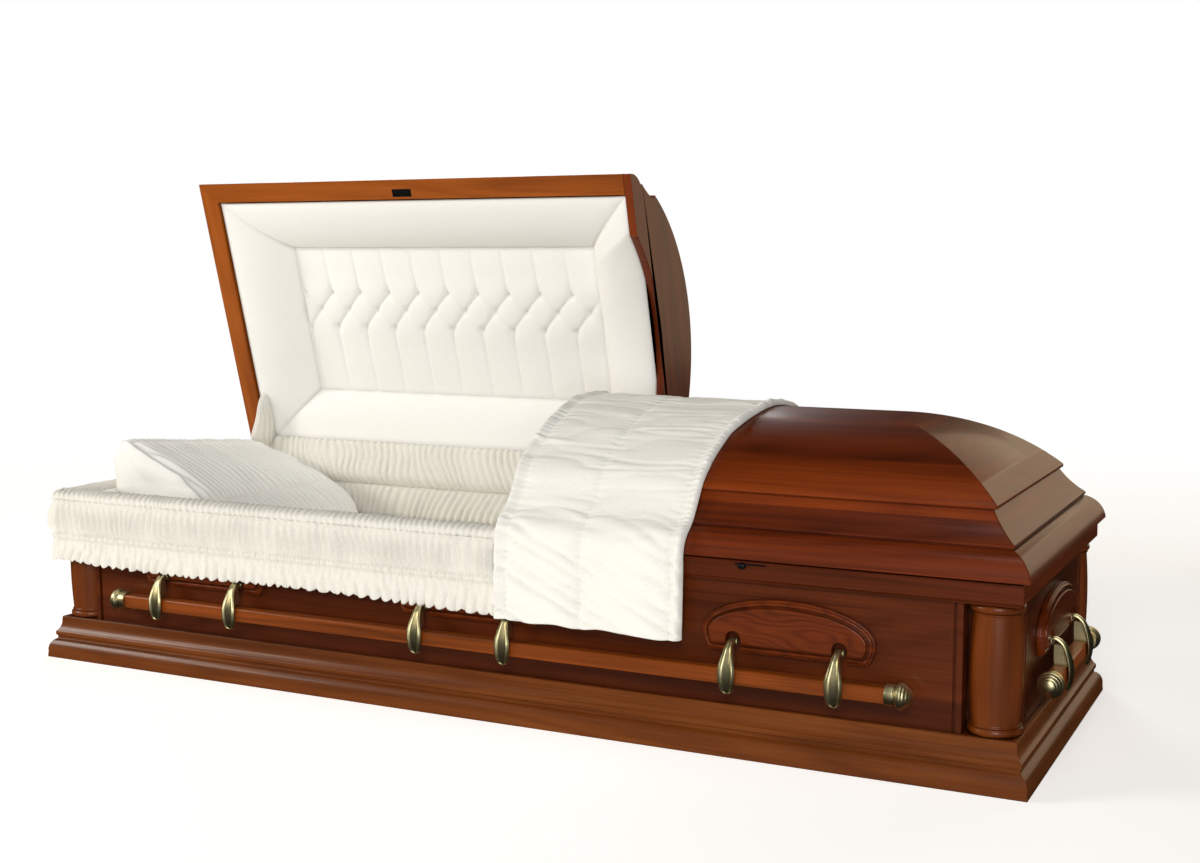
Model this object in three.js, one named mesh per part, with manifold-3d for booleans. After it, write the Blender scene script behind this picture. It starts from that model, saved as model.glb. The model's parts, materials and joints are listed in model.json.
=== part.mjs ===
// Half-couch wooden funeral casket: box with turned corner columns, two hinged
// lids, four swinging bar handles and a cloth interior.
// Millimetres. X runs along the length towards the foot end, -Y is the front,
// +Z is up, and the origin is the centre of the underside.
import * as THREE from 'three';
import { mergeVertices } from 'three/addons/utils/BufferGeometryUtils.js';
import Module from 'manifold-3d';

const wasm = await Module();
wasm.setup();

// Overall
const length = 2110;
const width = 731;
const halfLength = length / 2;
const halfWidth = width / 2;
const gap = 0.3; // between pieces that touch
const mitreGap = 0.2; // from each mitred end to the mitre line

// Box: an inset is measured inwards from the plinth's outer edge
const boardThickness = 20;
const panelInset = 34.5;
const plinthHeight = 88;
const railBottom = 308;
const railHeight = 39;
const railInset = 18;
const railEdgeRound = 4;
const bottomThickness = 18;
const wallInset = panelInset + boardThickness;
const railTop = railBottom + railHeight;

// Corner niches and columns
const postInset = 73;
const nicheClearance = 1;
const postThickness = 12;
const postReturn = 20;
const stripWidth = 10;
const stripProud = 2.5;
const stripGroove = 6;
const stripGrooveDepth = 4;
const columnInset = 70;
const columnWaist = 40.5;
const columnBelly = 44.5;
const columnBead = 46;
const columnBeadHeight = 15;
const beadSteps = 3;
const columnSides = 14;
const nicheWidth = columnInset + columnBead + nicheClearance; // inset where the boards stop
const postClearance = 5; // from the posts to the interior's corners, which are cut across
const cornerCut = nicheWidth + postReturn + postInset + postThickness + postClearance - 2 * wallInset;

// Base moulding
const plinthToe = 10;
const plinthLip = 13;
const plinthGrooveInset = 16;
const plinthGrooveBottom = 38;
const plinthGrooveTop = 48;
const plinthTopInset = 24;

// Lids
const lidGap = 5; // between rail and lid, room for the cloth over the rim
const lidBottom = railTop + lidGap;
const lidInset = 5;
const lidHeight = 228;
const splitX = 99;
const splitGap = 6;
const ovoloInset = 38;
const ovoloHeight = 46;
const ovoloBulge = 6;
const filletHeight = 6;
const filletStep = 2;
const coveInset = 83.5;
const coveTop = 103; // above the lid's bottom
const coveHollow = 3;
const crownInset = 77;
const crownEdge = 111; // above the lid's bottom
const crownLipHeight = 5.5;
const lidRailInset = 50;
const lidRailHeight = 40;
const crownThickness = 14;
const endBoardThickness = 18;
const archHalfWidth = 227;
const archHeight = 68;
const lidAngle = 74.9; // of the open head lid, degrees
const hingeInset = 14;
const hingeHeight = railTop + 2;

// Ears and handles: heights above the underside, depths from the panel face
const earHalfWidth = 156.5;
const earBottom = 184;
const earSpring = 220;
const earTop = 282;
const earLowerRadius = 90;
const earBase = 9;
const earRing = 13;
const earField = 16;
const earRingInset = 4;
const earGrooveInset = 10;
const earFieldInset = 14;
const earSteps = 10;
const earSpacing = 637;
const armSpacing = 192;
const notchWidth = 28;
const notchTop = 222;
const pivotOut = 10;
const pivotHeight = 202;
const pivotRadius = 7;
const knuckleWidth = 16;
const barOut = 31;
const barHeight = 147;
const barDepth = 26;
const barTall = 28;
const barChamfer = 5;
const sideHandleHalf = 868;
const endHandleHalf = 206;
const tipLength = 48;
const tipSleeveRadius = 17.5;
const tipFlangeRadius = 23;
const tipSides = 8;
const leafThickness = 7;
const webWidth = 12;

// Soft goods
const liningThickness = 12;
const bedTop = 250;
const pillowHead = -968;
const pillowFoot = -642;
const pillowHalfWidth = 236;
const pillowTop = 427;
const pillowClearance = 2;
const lidClearance = 4; // from the pillow up to the closed lid's lining
const skirtThickness = 5;
const skirtHem = 226;
const strapThickness = 4;
const skirtBackEnd = 300; // y where the skirt ends on the head rim
const trayDepth = 80; // of the lid lining's flat panel, above the lid's bottom
const trayBorder = 130;
const trayThickness = 10;
const trayEdge = 2.5;
const overlayEnd = 448;
const overlayHem = 226;
const overlayThickness = 6;
const overlayLift = 0.8;

const stain = { rail: '#8a4a22', panel: '#6b3418', moulding: '#7a3f1e' };

function wood(color) {
  return new THREE.MeshStandardMaterial({ color, roughness: 0.38, metalness: 0 });
}
const railWood = wood(stain.rail);
const panelWood = wood(stain.panel);
const mouldingWood = wood(stain.moulding);
const brass = new THREE.MeshStandardMaterial({ color: '#8d8050', roughness: 0.32, metalness: 1 });
const cloth = new THREE.MeshStandardMaterial({ color: '#f1ede2', roughness: 0.9, metalness: 0 });

const group = new THREE.Group();

// Booleans: a geometry becomes a solid and comes back as a geometry
function solidOf(geometry) {
  const bare = geometry.clone();
  bare.deleteAttribute('normal');
  bare.deleteAttribute('uv');
  const merged = mergeVertices(bare, 1e-4);
  return new wasm.Manifold(new wasm.Mesh({
    numProp: 3,
    vertProperties: new Float32Array(merged.attributes.position.array),
    triVerts: new Uint32Array(merged.index.array),
  }));
}

function geometryOf(solid) {
  const mesh = solid.getMesh();
  const geometry = new THREE.BufferGeometry();
  geometry.setAttribute('position', new THREE.BufferAttribute(mesh.vertProperties, 3));
  geometry.setIndex(new THREE.BufferAttribute(mesh.triVerts, 1));
  return geometry;
}

function add(name, geometry, material, parent = group) {
  const mesh = new THREE.Mesh(geometry, material);
  mesh.name = name;
  parent.add(mesh);
  return mesh;
}

function shapeOf(points) {
  return new THREE.Shape(points.map(([a, b]) => new THREE.Vector2(a, b)));
}

// A plan outline (x, y) raised from z0 to z1
function raised(points, z0, z1) {
  const geometry = new THREE.ExtrudeGeometry(shapeOf(points), { depth: z1 - z0, bevelEnabled: false });
  return geometry.translate(0, 0, z0);
}

// A section (y, z) run along X from x0 to x1
function alongX(points, x0, x1) {
  const geometry = new THREE.ExtrudeGeometry(shapeOf(points), { depth: x1 - x0, bevelEnabled: false });
  geometry.rotateX(Math.PI / 2).rotateZ(Math.PI / 2);
  return geometry.translate(x0, 0, 0);
}

// A section (x, z) run along Y from y0 to y1
function alongY(points, y0, y1) {
  const geometry = new THREE.ExtrudeGeometry(shapeOf(points), { depth: y1 - y0, bevelEnabled: false });
  geometry.rotateX(Math.PI / 2);
  return geometry.translate(0, y1, 0);
}

function block(x0, x1, y0, y1, z0, z1) {
  const geometry = new THREE.BoxGeometry(x1 - x0, y1 - y0, z1 - z0);
  return geometry.translate((x0 + x1) / 2, (y0 + y1) / 2, (z0 + z1) / 2);
}

// Points of a circular arc from a to b whose middle stands off the chord by
// sagitta, to the left of the way from a to b; a is left out
function arc([ax, ay], [bx, by], sagitta, steps) {
  const chord = Math.hypot(bx - ax, by - ay);
  const radius = (chord * chord / 4 + sagitta * sagitta) / (2 * Math.abs(sagitta));
  const half = Math.asin(Math.min(1, chord / 2 / radius));
  const [ux, uy] = [(bx - ax) / chord, (by - ay) / chord];
  const side = Math.sign(sagitta);
  const points = [];
  for (let i = 1; i <= steps; i += 1) {
    const turn = half * (2 * i / steps - 1);
    const along = chord / 2 + radius * Math.sin(turn);
    const off = side * (radius * Math.cos(turn) - radius * Math.cos(half));
    points.push([ax + ux * along - uy * off, ay + uy * along + ux * off]);
  }
  return points;
}

// A closed profile of (inset, z) run along the front edge with both ends mitred,
// for a side that lies at distance face from the centre and is 2 x run long
function mitredLength(profile, face, run) {
  const geometry = new THREE.ExtrudeGeometry(shapeOf(profile), { depth: 1, bevelEnabled: false });
  const position = geometry.attributes.position;
  for (let i = 0; i < position.count; i += 1) {
    const inset = position.getX(i);
    const side = position.getZ(i) > 0.5 ? 1 : -1;
    position.setXYZ(i, side * (run - inset - mitreGap), inset - face, position.getY(i));
  }
  return new THREE.BufferGeometry().copy(geometry);
}

// The same ring on all four sides: the meeting of a run along X and a run along Y.
// halfProfile lists (inset, z) upwards from the outer bottom edge.
function hipped(halfProfile) {
  const section = (half) => {
    const left = halfProfile.map(([inset, z]) => [inset - half, z]);
    const right = halfProfile.map(([inset, z]) => [half - inset, z]).reverse();
    return left.concat(right.filter(([at], i) => i > 0 || at > 1e-6)).reverse();
  };
  const lengthwise = solidOf(alongX(section(halfWidth), -halfLength, halfLength));
  const crosswise = solidOf(alongY(section(halfLength), -halfWidth, halfWidth));
  return lengthwise.intersect(crosswise);
}

// The interior's plan outline, an oblong with its corners cut across
function interior(inset) {
  const x = halfLength - inset;
  const y = halfWidth - inset;
  const cut = cornerCut - (inset - wallInset) * 0.6;
  return [[x, y - cut], [x - cut, y], [cut - x, y], [-x, y - cut],
    [-x, cut - y], [cut - x, -y], [x - cut, -y], [x, cut - y]];
}

function bottomBoard() {
  add('bottom_board', raised(interior(wallInset + gap), 0, bottomThickness), panelWood);
}

// Side board in plan, with the groove and the proud strip at both ends
function sidePanels() {
  const end = halfLength - nicheWidth;
  const face = panelInset - halfWidth;
  const proud = face - stripProud;
  const rebate = face + stripGrooveDepth;
  const strip = end - stripWidth;
  const groove = strip - stripGroove;
  const back = face + boardThickness;
  const half = [[groove, face], [groove, rebate], [strip, rebate], [strip, proud], [end, proud], [end, back]];
  const mirrored = half.map(([x, y]) => [-x, y]).reverse();
  const outline = mirrored.concat(half);
  const geometry = raised(outline, 0, railBottom - gap);
  const slot = solidOf(geometry).subtract(solidOf(
    block(-halfLength, halfLength, -halfWidth, face, -1, plinthHeight + gap)));
  add('side_panel_front', geometryOf(slot), panelWood);
  add('side_panel_back', geometryOf(slot), panelWood).rotation.z = Math.PI;
}

// End board with the two corner posts it is glued to and the floors of the niches
function endPanels() {
  const at = ([a, b]) => [halfLength - a, b - halfWidth];
  const inner = postInset + postThickness;
  const returnEnd = nicheWidth + postReturn;
  const stripStart = nicheWidth + stripWidth;
  const grooveStart = stripStart + stripGroove;
  const half = [
    [panelInset, grooveStart], [panelInset + stripGrooveDepth, grooveStart],
    [panelInset + stripGrooveDepth, stripStart], [panelInset - stripProud, stripStart],
    [panelInset - stripProud, nicheWidth], [postInset, nicheWidth], [postInset, postInset],
    [nicheWidth, postInset], [nicheWidth, wallInset + gap], [returnEnd, wallInset + gap],
    [returnEnd, inner], [inner, inner], [inner, returnEnd], [wallInset, returnEnd],
  ].map(at);
  const outline = half.concat(half.map(([x, y]) => [x, -y]).reverse()).reverse();
  const floor = [[panelInset, panelInset], [nicheWidth - gap, panelInset],
    [nicheWidth - gap, postInset + 1], [panelInset, postInset + 1]].map(at).reverse();
  const filler = [[panelInset, panelInset], [postInset + 1, panelInset],
    [postInset + 1, nicheWidth + 1], [panelInset, nicheWidth + 1]].map(at).reverse();
  let solid = solidOf(raised(outline, 0, railBottom - gap));
  const cutFace = halfLength - panelInset;
  solid = solid.subtract(solidOf(block(cutFace, halfLength, -halfWidth, halfWidth, -1, plinthHeight + gap)));
  for (const plan of [floor, filler]) {
    solid = solid.add(solidOf(raised(plan, 0, plinthHeight)));
    solid = solid.add(solidOf(raised(plan.map(([x, y]) => [x, -y]).reverse(), 0, plinthHeight)));
  }
  add('end_panel_foot', geometryOf(solid), panelWood);
  add('end_panel_head', geometryOf(solid), panelWood).rotation.z = Math.PI;
}

// Convex toe, narrow groove, then a concave member under a thin lip
function baseMouldings() {
  const inner = panelInset - gap;
  const toeTop = [plinthToe, plinthGrooveBottom - 1];
  const lipTop = [plinthLip, plinthGrooveTop + 7];
  const profile = [
    [inner, 0], [0, 0], [1, 13], ...arc([1, 13], toeTop, 3, 3),
    [plinthGrooveInset, plinthGrooveBottom + 2], [plinthGrooveInset, plinthGrooveTop - 2],
    [plinthLip, plinthGrooveTop], lipTop,
    ...arc(lipTop, [plinthTopInset - 1, plinthHeight - 8], -3, 4),
    [plinthTopInset, plinthHeight], [inner, plinthHeight],
  ].reverse();
  const side = mitredLength(profile, halfWidth, halfLength);
  const end = mitredLength(profile, halfLength, halfWidth);
  add('base_moulding_front', side, mouldingWood);
  add('base_moulding_back', side, mouldingWood).rotation.z = Math.PI;
  add('base_moulding_foot', end, mouldingWood).rotation.z = Math.PI / 2;
  add('base_moulding_head', end, mouldingWood).rotation.z = -Math.PI / 2;
}

function topRail() {
  const outer = hipped([[railInset + railEdgeRound, railBottom], [railInset + 1, railBottom + 1.5],
    [railInset, railBottom + railEdgeRound + 1], [railInset, railTop]]);
  const hole = solidOf(raised(interior(wallInset), railBottom - 1, railTop + 1));
  add('top_rail', geometryOf(outer.subtract(hole)), railWood);
}

// Turned barrel with a bead at each end, three quarters round against its post
function cornerColumns() {
  const bottom = plinthHeight + gap;
  const top = railBottom - gap;
  const beadRadius = columnBeadHeight / 2;
  const bead = (middle) => {
    const points = [];
    for (let i = 0; i <= beadSteps; i += 1) {
      const turn = Math.PI * (i / beadSteps - 0.5);
      points.push([columnBead - beadRadius + beadRadius * Math.cos(turn), middle + beadRadius * Math.sin(turn)]);
    }
    return points;
  };
  const shaftBottom = bottom + columnBeadHeight;
  const shaftTop = top - columnBeadHeight;
  const shaft = arc([columnWaist, shaftBottom], [columnWaist, shaftTop], columnWaist - columnBelly, 4);
  const profile = [[0, bottom], ...bead(bottom + beadRadius), [columnWaist, shaftBottom], ...shaft,
    ...bead(top - beadRadius), [0, top]];
  const turned = new THREE.LatheGeometry(profile.map(([r, z]) => new THREE.Vector2(r, z)), columnSides);
  const solid = solidOf(turned.rotateX(Math.PI / 2));
  const corner = postInset - columnInset;
  const reach = columnBead + 10;
  const edge = gap - corner;
  const cut = solid.subtract(solidOf(block(-reach, edge, -reach, edge, bottom - 1, top + 1)));
  const geometry = geometryOf(cut);
  const x = halfLength - columnInset;
  const y = halfWidth - columnInset;
  const corners = [['foot_back', x, y, 0], ['head_back', -x, y, 90], ['head_front', -x, -y, 180],
    ['foot_front', x, -y, 270]];
  for (const [place, cx, cy, turn] of corners) {
    const column = add('corner_column_' + place, geometry, railWood);
    column.position.set(cx, cy, 0);
    column.rotation.z = THREE.MathUtils.degToRad(turn);
  }
}

// Half profile of a lid as (inset, z), from its outer bottom edge to the ridge
const crownRise = lidHeight - crownEdge;
const crownHalf = halfWidth - crownInset;
const crownRadius = (crownHalf ** 2 + crownRise ** 2) / (2 * crownRise);
const crownCentre = lidBottom + lidHeight - crownRadius;

function crownArc(radius, fromInset, steps) {
  const start = Math.asin((halfWidth - fromInset) / radius);
  const points = [];
  for (let i = 0; i <= steps; i += 1) {
    const turn = start * (1 - i / steps);
    points.push([halfWidth - radius * Math.sin(turn), crownCentre + radius * Math.cos(turn)]);
  }
  return points;
}

function lidProfile() {
  const foot = [lidInset, lidBottom];
  const ovoloEnd = [ovoloInset, lidBottom + ovoloHeight];
  const coveStart = [ovoloInset + filletStep, lidBottom + ovoloHeight + filletHeight];
  const coveEnd = [coveInset, lidBottom + coveTop];
  return [
    foot, ...arc(foot, ovoloEnd, ovoloBulge, 5), coveStart,
    ...arc(coveStart, coveEnd, -coveHollow, 4),
    [crownInset, lidBottom + crownEdge - crownLipHeight],
    ...crownArc(crownRadius, crownInset, 9),
  ];
}

function lidSolids() {
  const outer = hipped(lidProfile());
  const innerRadius = crownRadius - crownThickness;
  const hollow = hipped([[lidRailInset, lidBottom - 1], [lidRailInset, lidBottom + lidRailHeight],
    [coveInset + 8.5, lidBottom + coveTop - 8], ...crownArc(innerRadius, crownInset + 23, 6)]);
  const arch = [[archHalfWidth, lidBottom - 1], [archHalfWidth, lidBottom],
    ...arc([archHalfWidth, lidBottom], [-archHalfWidth, lidBottom], -archHeight, 12),
    [-archHalfWidth, lidBottom - 1]];
  return { outer, shell: outer.subtract(hollow), arch };
}

function slab(x0, x1) {
  return solidOf(block(x0, x1, -width, width, 0, lidBottom + lidHeight + 10));
}

function lids() {
  const { outer, shell, arch } = lidSolids();
  const archCut = (x0, x1) => solidOf(alongX([...arch].reverse(), x0 - 1, x1 + 1));
  const board = (x0, x1) => outer.intersect(slab(x0, x1)).subtract(archCut(x0, x1));
  const boardStart = splitX - endBoardThickness;
  const footStart = splitX + splitGap;
  const footBoardEnd = footStart + endBoardThickness;

  const hinge = new THREE.Group();
  hinge.position.set(0, halfWidth - hingeInset, hingeHeight);
  hinge.rotation.x = -THREE.MathUtils.degToRad(lidAngle);
  const headLid = new THREE.Group();
  headLid.position.set(0, hingeInset - halfWidth, -hingeHeight);
  hinge.add(headLid);
  group.add(hinge);

  add('head_lid', geometryOf(shell.intersect(slab(-halfLength, boardStart - gap))), railWood, headLid);
  add('head_lid_end_board', geometryOf(board(boardStart, splitX)), panelWood, headLid);
  add('head_lid_lining', lidLining(boardStart - gap), cloth, headLid);
  add('foot_lid', geometryOf(shell.intersect(slab(footBoardEnd + gap, halfLength))), railWood);
  add('foot_lid_end_board', geometryOf(board(footStart, footBoardEnd)), panelWood);
}

// A closed solid of stacked oblong rings (inset, z) inside the head lid, which runs
// up to x footEnd at the innermost edge; the first and last ring are closed.
const trayEdgeInset = lidRailInset + trayEdge;

function oblongRings(rings, footEnd) {
  const points = [];
  for (const [inset, z] of rings) {
    const x0 = inset - halfLength;
    const x1 = footEnd - (inset - trayEdgeInset) - gap;
    const y = halfWidth - inset;
    points.push([x0, -y, z], [x1, -y, z], [x1, y, z], [x0, y, z]);
  }
  const faces = [0, 2, 1, 0, 3, 2];
  for (let ring = 0; ring < rings.length - 1; ring += 1) {
    for (let side = 0; side < 4; side += 1) {
      const a = ring * 4 + side;
      const b = ring * 4 + (side + 1) % 4;
      faces.push(a, b, b + 4, a, b + 4, a + 4);
    }
  }
  const last = (rings.length - 1) * 4;
  faces.push(last, last + 1, last + 2, last, last + 2, last + 3);
  const geometry = new THREE.BufferGeometry();
  geometry.setAttribute('position', new THREE.BufferAttribute(new Float32Array(points.flat()), 3));
  geometry.setIndex(faces);
  return geometry;
}

// Inner face of the lid lining: a sloping border round a flat panel
function trayFace(lift) {
  const low = lidBottom + 2;
  return [[trayEdgeInset + trayBorder, lidBottom + trayDepth + lift],
    [trayEdgeInset + trayBorder * 0.4, low + trayDepth * 0.28 + lift], [trayEdgeInset, low + lift]];
}

// Tray of cloth in the head lid
function lidLining(footEnd) {
  return oblongRings([...trayFace(0), ...trayFace(trayThickness).reverse()], footEnd);
}

// The room over the bed that the closed lid's lining leaves free
function underLid(footEnd) {
  const [panel, middle, edge] = trayFace(-lidClearance);
  return oblongRings([[trayEdgeInset, bedTop], edge, middle, panel], footEnd);
}

// Ear outline at an inset: half an ellipse above the spring line, and below it a
// steeper ellipse that turns in to a flat bottom
function earOutline(inset) {
  const half = earHalfWidth - inset;
  const rise = earTop - earSpring - inset;
  const drop = earLowerRadius - inset;
  const bottom = earBottom + inset;
  const lowest = Math.asin((earSpring - bottom) / drop);
  const points = [];
  for (let i = 0; i < 2; i += 1) {
    const turn = lowest * (i / 2 - 1);
    points.push([half * Math.cos(turn), earSpring + drop * Math.sin(turn)]);
  }
  for (let i = 0; i <= earSteps; i += 1) {
    const turn = Math.PI * i / earSteps;
    points.push([half * Math.cos(turn), earSpring + rise * Math.sin(turn)]);
  }
  for (let i = 1; i <= 2; i += 1) {
    const turn = lowest * i / 2;
    points.push([-half * Math.cos(turn), earSpring - drop * Math.sin(turn)]);
  }
  return points;
}

// Moulded ear: base layer, a raised ring, a groove and a raised field, with two
// slots for the handle's arms. Made at the front, its back on the panel face.
function earGeometry() {
  const layer = (inset, from, to) => solidOf(alongY(earOutline(inset), -to, -from));
  const ring = layer(earRingInset, earBase - 1, earRing).subtract(layer(earGrooveInset, earBase - 2, earRing + 1));
  let ear = layer(0, gap, earBase).add(ring).add(layer(earFieldInset, earBase - 1, earField));
  const radius = notchWidth / 2;
  const notch = [[-radius, earBottom - 1], [radius, earBottom - 1], [radius, notchTop - radius],
    ...arc([radius, notchTop - radius], [-radius, notchTop - radius], -radius, 3)];
  for (const side of [-1, 1]) {
    const placed = notch.map(([x, z]) => [x + side * armSpacing / 2, z]);
    ear = ear.subtract(solidOf(alongY(placed, -earField - 1, 0)));
  }
  return geometryOf(ear);
}

// One side of the casket: where its handle goes, as a turn about Z and a distance
const sides = [
  { side: 'front', turn: 0, face: halfWidth - panelInset, half: sideHandleHalf, ears: [-1, 0, 1] },
  { side: 'back', turn: 180, face: halfWidth - panelInset, half: sideHandleHalf, ears: [-1, 0, 1] },
  { side: 'foot', turn: 90, face: halfLength - panelInset, half: endHandleHalf, ears: [0] },
  { side: 'head', turn: -90, face: halfLength - panelInset, half: endHandleHalf, ears: [0] },
];

// Arm in side view: (out from the panel, height, width) down the middle of the leaf
const armLine = new THREE.CatmullRomCurve3([
  new THREE.Vector3(pivotOut + 3, pivotHeight + 2.5, 12),
  new THREE.Vector3(pivotOut + 12, pivotHeight + 4.5, 12),
  new THREE.Vector3(barOut + 4.5, pivotHeight - 6, 15),
  new THREE.Vector3(barOut + 13, barHeight + 32, 25),
  new THREE.Vector3(barOut + 18, barHeight + 12, 33),
  new THREE.Vector3(barOut + 17.5, barHeight - 10, 28),
  new THREE.Vector3(barOut + 12, barHeight - 30, 14),
]);

// The leaf's section as (share of width, share of thickness), dished in front
const leafSection = [[-0.5, 0], [-0.4, 0.5], [0, 0.1], [0.4, 0.5], [0.5, 0], [0, -0.5]];

function leaf() {
  const stations = 7;
  const around = leafSection.length;
  const points = [];
  for (let i = 0; i <= stations; i += 1) {
    const at = armLine.getPoint(i / stations);
    const way = armLine.getTangent(i / stations);
    const size = Math.hypot(way.x, way.y);
    const [outX, outZ] = [-way.y / size, way.x / size];
    for (const [across, deep] of leafSection) {
      const off = deep * leafThickness;
      points.push([across * at.z, -(at.x + outX * off), at.y + outZ * off]);
    }
  }
  const faces = [];
  for (let i = 0; i < stations; i += 1) {
    for (let j = 0; j < around; j += 1) {
      const a = i * around + j;
      const b = i * around + (j + 1) % around;
      faces.push(a, b + around, b, a, a + around, b + around);
    }
  }
  const last = stations * around;
  for (let j = 1; j < around - 1; j += 1) {
    faces.push(0, j, j + 1);
    faces.push(last, last + j + 1, last + j);
  }
  const geometry = new THREE.BufferGeometry();
  geometry.setAttribute('position', new THREE.BufferAttribute(new Float32Array(points.flat()), 3));
  geometry.setIndex(faces);
  return geometry;
}

// Arm: knuckle in the ear's slot, leaf in front of the bar, web down to the bar
function armGeometry() {
  const knuckle = new THREE.CylinderGeometry(pivotRadius, pivotRadius, knuckleWidth, 6);
  knuckle.rotateZ(Math.PI / 2).translate(0, -pivotOut, pivotHeight);
  const barTop = barHeight + barTall / 2 + gap;
  const web = [[-(barOut + 16.5), barTop + 4], [-(barOut + 15), barTop], [-(barOut - 9), barTop],
    [-(barOut - 10), barTop + 14], [-(pivotOut + 12), pivotHeight - 4], [-(barOut + 3), pivotHeight - 7]];
  const plate = alongX([...web], -webWidth / 2, webWidth / 2);
  let arm = solidOf(leaf()).add(solidOf(knuckle)).add(solidOf(plate));
  const clear = barDepth / 2 + gap;
  arm = arm.subtract(solidOf(block(-50, 50, -barOut - clear, -barOut + clear,
    barHeight - barTall / 2 - gap, barTop)));
  return geometryOf(arm);
}

function barGeometry(half) {
  const x = barDepth / 2;
  const z = barTall / 2;
  const section = [[-x + barChamfer, -z], [x - barChamfer, -z], [x, -z + barChamfer], [x, z - barChamfer],
    [x - barChamfer, z], [-x + barChamfer, z], [-x, z - barChamfer], [-x, -z + barChamfer]]
    .map(([y, up]) => [y - barOut, up + barHeight]);
  const end = half - tipLength - gap;
  return alongX(section, -end, end);
}

// Turned tip: sleeve, flange, stepped shoulder and a button, along +X from 0
function tipGeometry() {
  const flange = 0.48 * tipLength;
  const profile = [[0, 0], [tipSleeveRadius, 0], [tipSleeveRadius, flange - 3],
    [tipFlangeRadius, flange + 2], [tipFlangeRadius, flange + 6],
    [tipSleeveRadius, flange + 12], [tipSleeveRadius - 8, tipLength - 5], [0, tipLength]];
  const turned = new THREE.LatheGeometry(profile.map(([r, x]) => new THREE.Vector2(r, x)), tipSides);
  return turned.rotateZ(-Math.PI / 2);
}

function earsAndHandles() {
  const ear = earGeometry();
  const arm = armGeometry();
  const tip = tipGeometry();
  for (const { side, turn, face, half, ears } of sides) {
    const turned = new THREE.Group();
    turned.rotation.z = THREE.MathUtils.degToRad(turn);
    group.add(turned);
    const onFace = new THREE.Group();
    onFace.position.y = -face;
    turned.add(onFace);
    ears.forEach((place, i) => {
      add('ear_' + side + '_' + (i + 1), ear, panelWood, onFace).position.x = place * earSpacing;
      for (const hand of [-1, 1]) {
        const name = 'handle_arm_' + side + '_' + (2 * i + (hand + 3) / 2);
        add(name, arm, brass, onFace).position.x = place * earSpacing + hand * armSpacing / 2;
      }
    });
    add('handle_bar_' + side, barGeometry(half), railWood, onFace);
    for (const hand of [-1, 1]) {
      const end = add('handle_tip_' + side + '_' + (hand + 3) / 2, tip, brass, onFace);
      end.position.set(hand * (half - tipLength), -barOut, barHeight);
      end.rotation.z = hand > 0 ? 0 : Math.PI;
    }
  }
}

// Cloth on the walls, the bed and the pillow
function bedding() {
  const walls = solidOf(raised(interior(wallInset + gap), bottomThickness + gap, railTop));
  const room = solidOf(raised(interior(wallInset + liningThickness), 0, railTop + 1));
  add('box_lining', geometryOf(walls.subtract(room)), cloth);
  add('mattress', raised(interior(wallInset + liningThickness + gap), bottomThickness + gap, bedTop), cloth);

  const foot = bedTop + gap;
  const side = [[pillowHead + 8, foot], [pillowFoot, foot], [pillowFoot - 18, foot + 25],
    [pillowFoot - 90, foot + 88], [pillowFoot - 165, foot + 136], [pillowFoot - 230, foot + 168],
    [pillowHead + 50, pillowTop], [pillowHead + 15, foot + 150], [pillowHead, foot + 80]];
  const across = [[-pillowHalfWidth + 12, foot], [pillowHalfWidth - 12, foot], [pillowHalfWidth, foot + 80],
    [pillowHalfWidth - 14, foot + 150], [pillowHalfWidth - 50, pillowTop], [50 - pillowHalfWidth, pillowTop],
    [14 - pillowHalfWidth, foot + 150], [-pillowHalfWidth, foot + 80]];
  const inside = interior(wallInset + liningThickness + pillowClearance);
  const pillow = solidOf(alongY(side, -pillowHalfWidth, pillowHalfWidth))
    .intersect(solidOf(alongX(across, pillowHead, pillowFoot)))
    .intersect(solidOf(raised(inside, bedTop, pillowTop + 1)))
    .intersect(solidOf(underLid(splitX - endBoardThickness)));
  add('pillow', geometryOf(pillow), cloth);
}

// Cloth over the front and head rims: a strap over the rail and a drop outside it
function rimSkirt() {
  const outer = railInset - gap - skirtThickness;
  const inner = railInset - gap;
  const under = railTop + gap;
  const over = under + strapThickness;
  const profile = [[outer, skirtHem], [inner, skirtHem], [inner, under], [wallInset, under],
    [wallInset, over], [outer, over]];
  const front = profile.map(([inset, z]) => [inset - halfWidth, z]);
  const end = profile.map(([inset, z]) => [inset - halfLength, z]);
  const corner = halfLength - outer;
  const sideRun = solidOf(alongX(front, -corner, splitX - 2));
  const endRun = solidOf(alongY(end, outer - halfWidth, skirtBackEnd));
  const keep = solidOf(block(-corner, splitX, outer - halfWidth, skirtBackEnd, skirtHem, over));
  const rail = solidOf(block(inner - halfLength, halfLength, inner - halfWidth, halfWidth, 0, under));
  add('rim_skirt', geometryOf(sideRun.add(endRun).intersect(keep).subtract(rail)), cloth);
}

// Cloth drawn over the foot lid beside the split, hanging down in front. It spans
// the cove, so its path takes only the lid's outermost points.
function overlay() {
  const outline = lidProfile();
  const filletTop = lidBottom + ovoloHeight + filletHeight;
  const hull = outline.filter(([, z]) => z <= filletTop + 1 || z >= lidBottom + crownEdge - 1);
  const front = hull.map(([inset, z]) => [inset - halfWidth, z]);
  const back = front.slice(0, -1).map(([y, z]) => [-y, z]).reverse();
  const path = [[front[0][0], overlayHem], ...front, ...back];
  const grown = (distance) => path.map(([y, z], i) => {
    const [y0, z0] = path[Math.max(0, i - 1)];
    const [y1, z1] = path[Math.min(path.length - 1, i + 1)];
    const size = Math.hypot(y1 - y0, z1 - z0);
    return [y - (z1 - z0) / size * distance, z + (y1 - y0) / size * distance];
  });
  const inner = grown(overlayLift);
  const outer = grown(overlayLift + overlayThickness);
  const section = inner.concat(outer.reverse());
  add('overlay', alongX(section, splitX + splitGap, overlayEnd), cloth);
}

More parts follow.
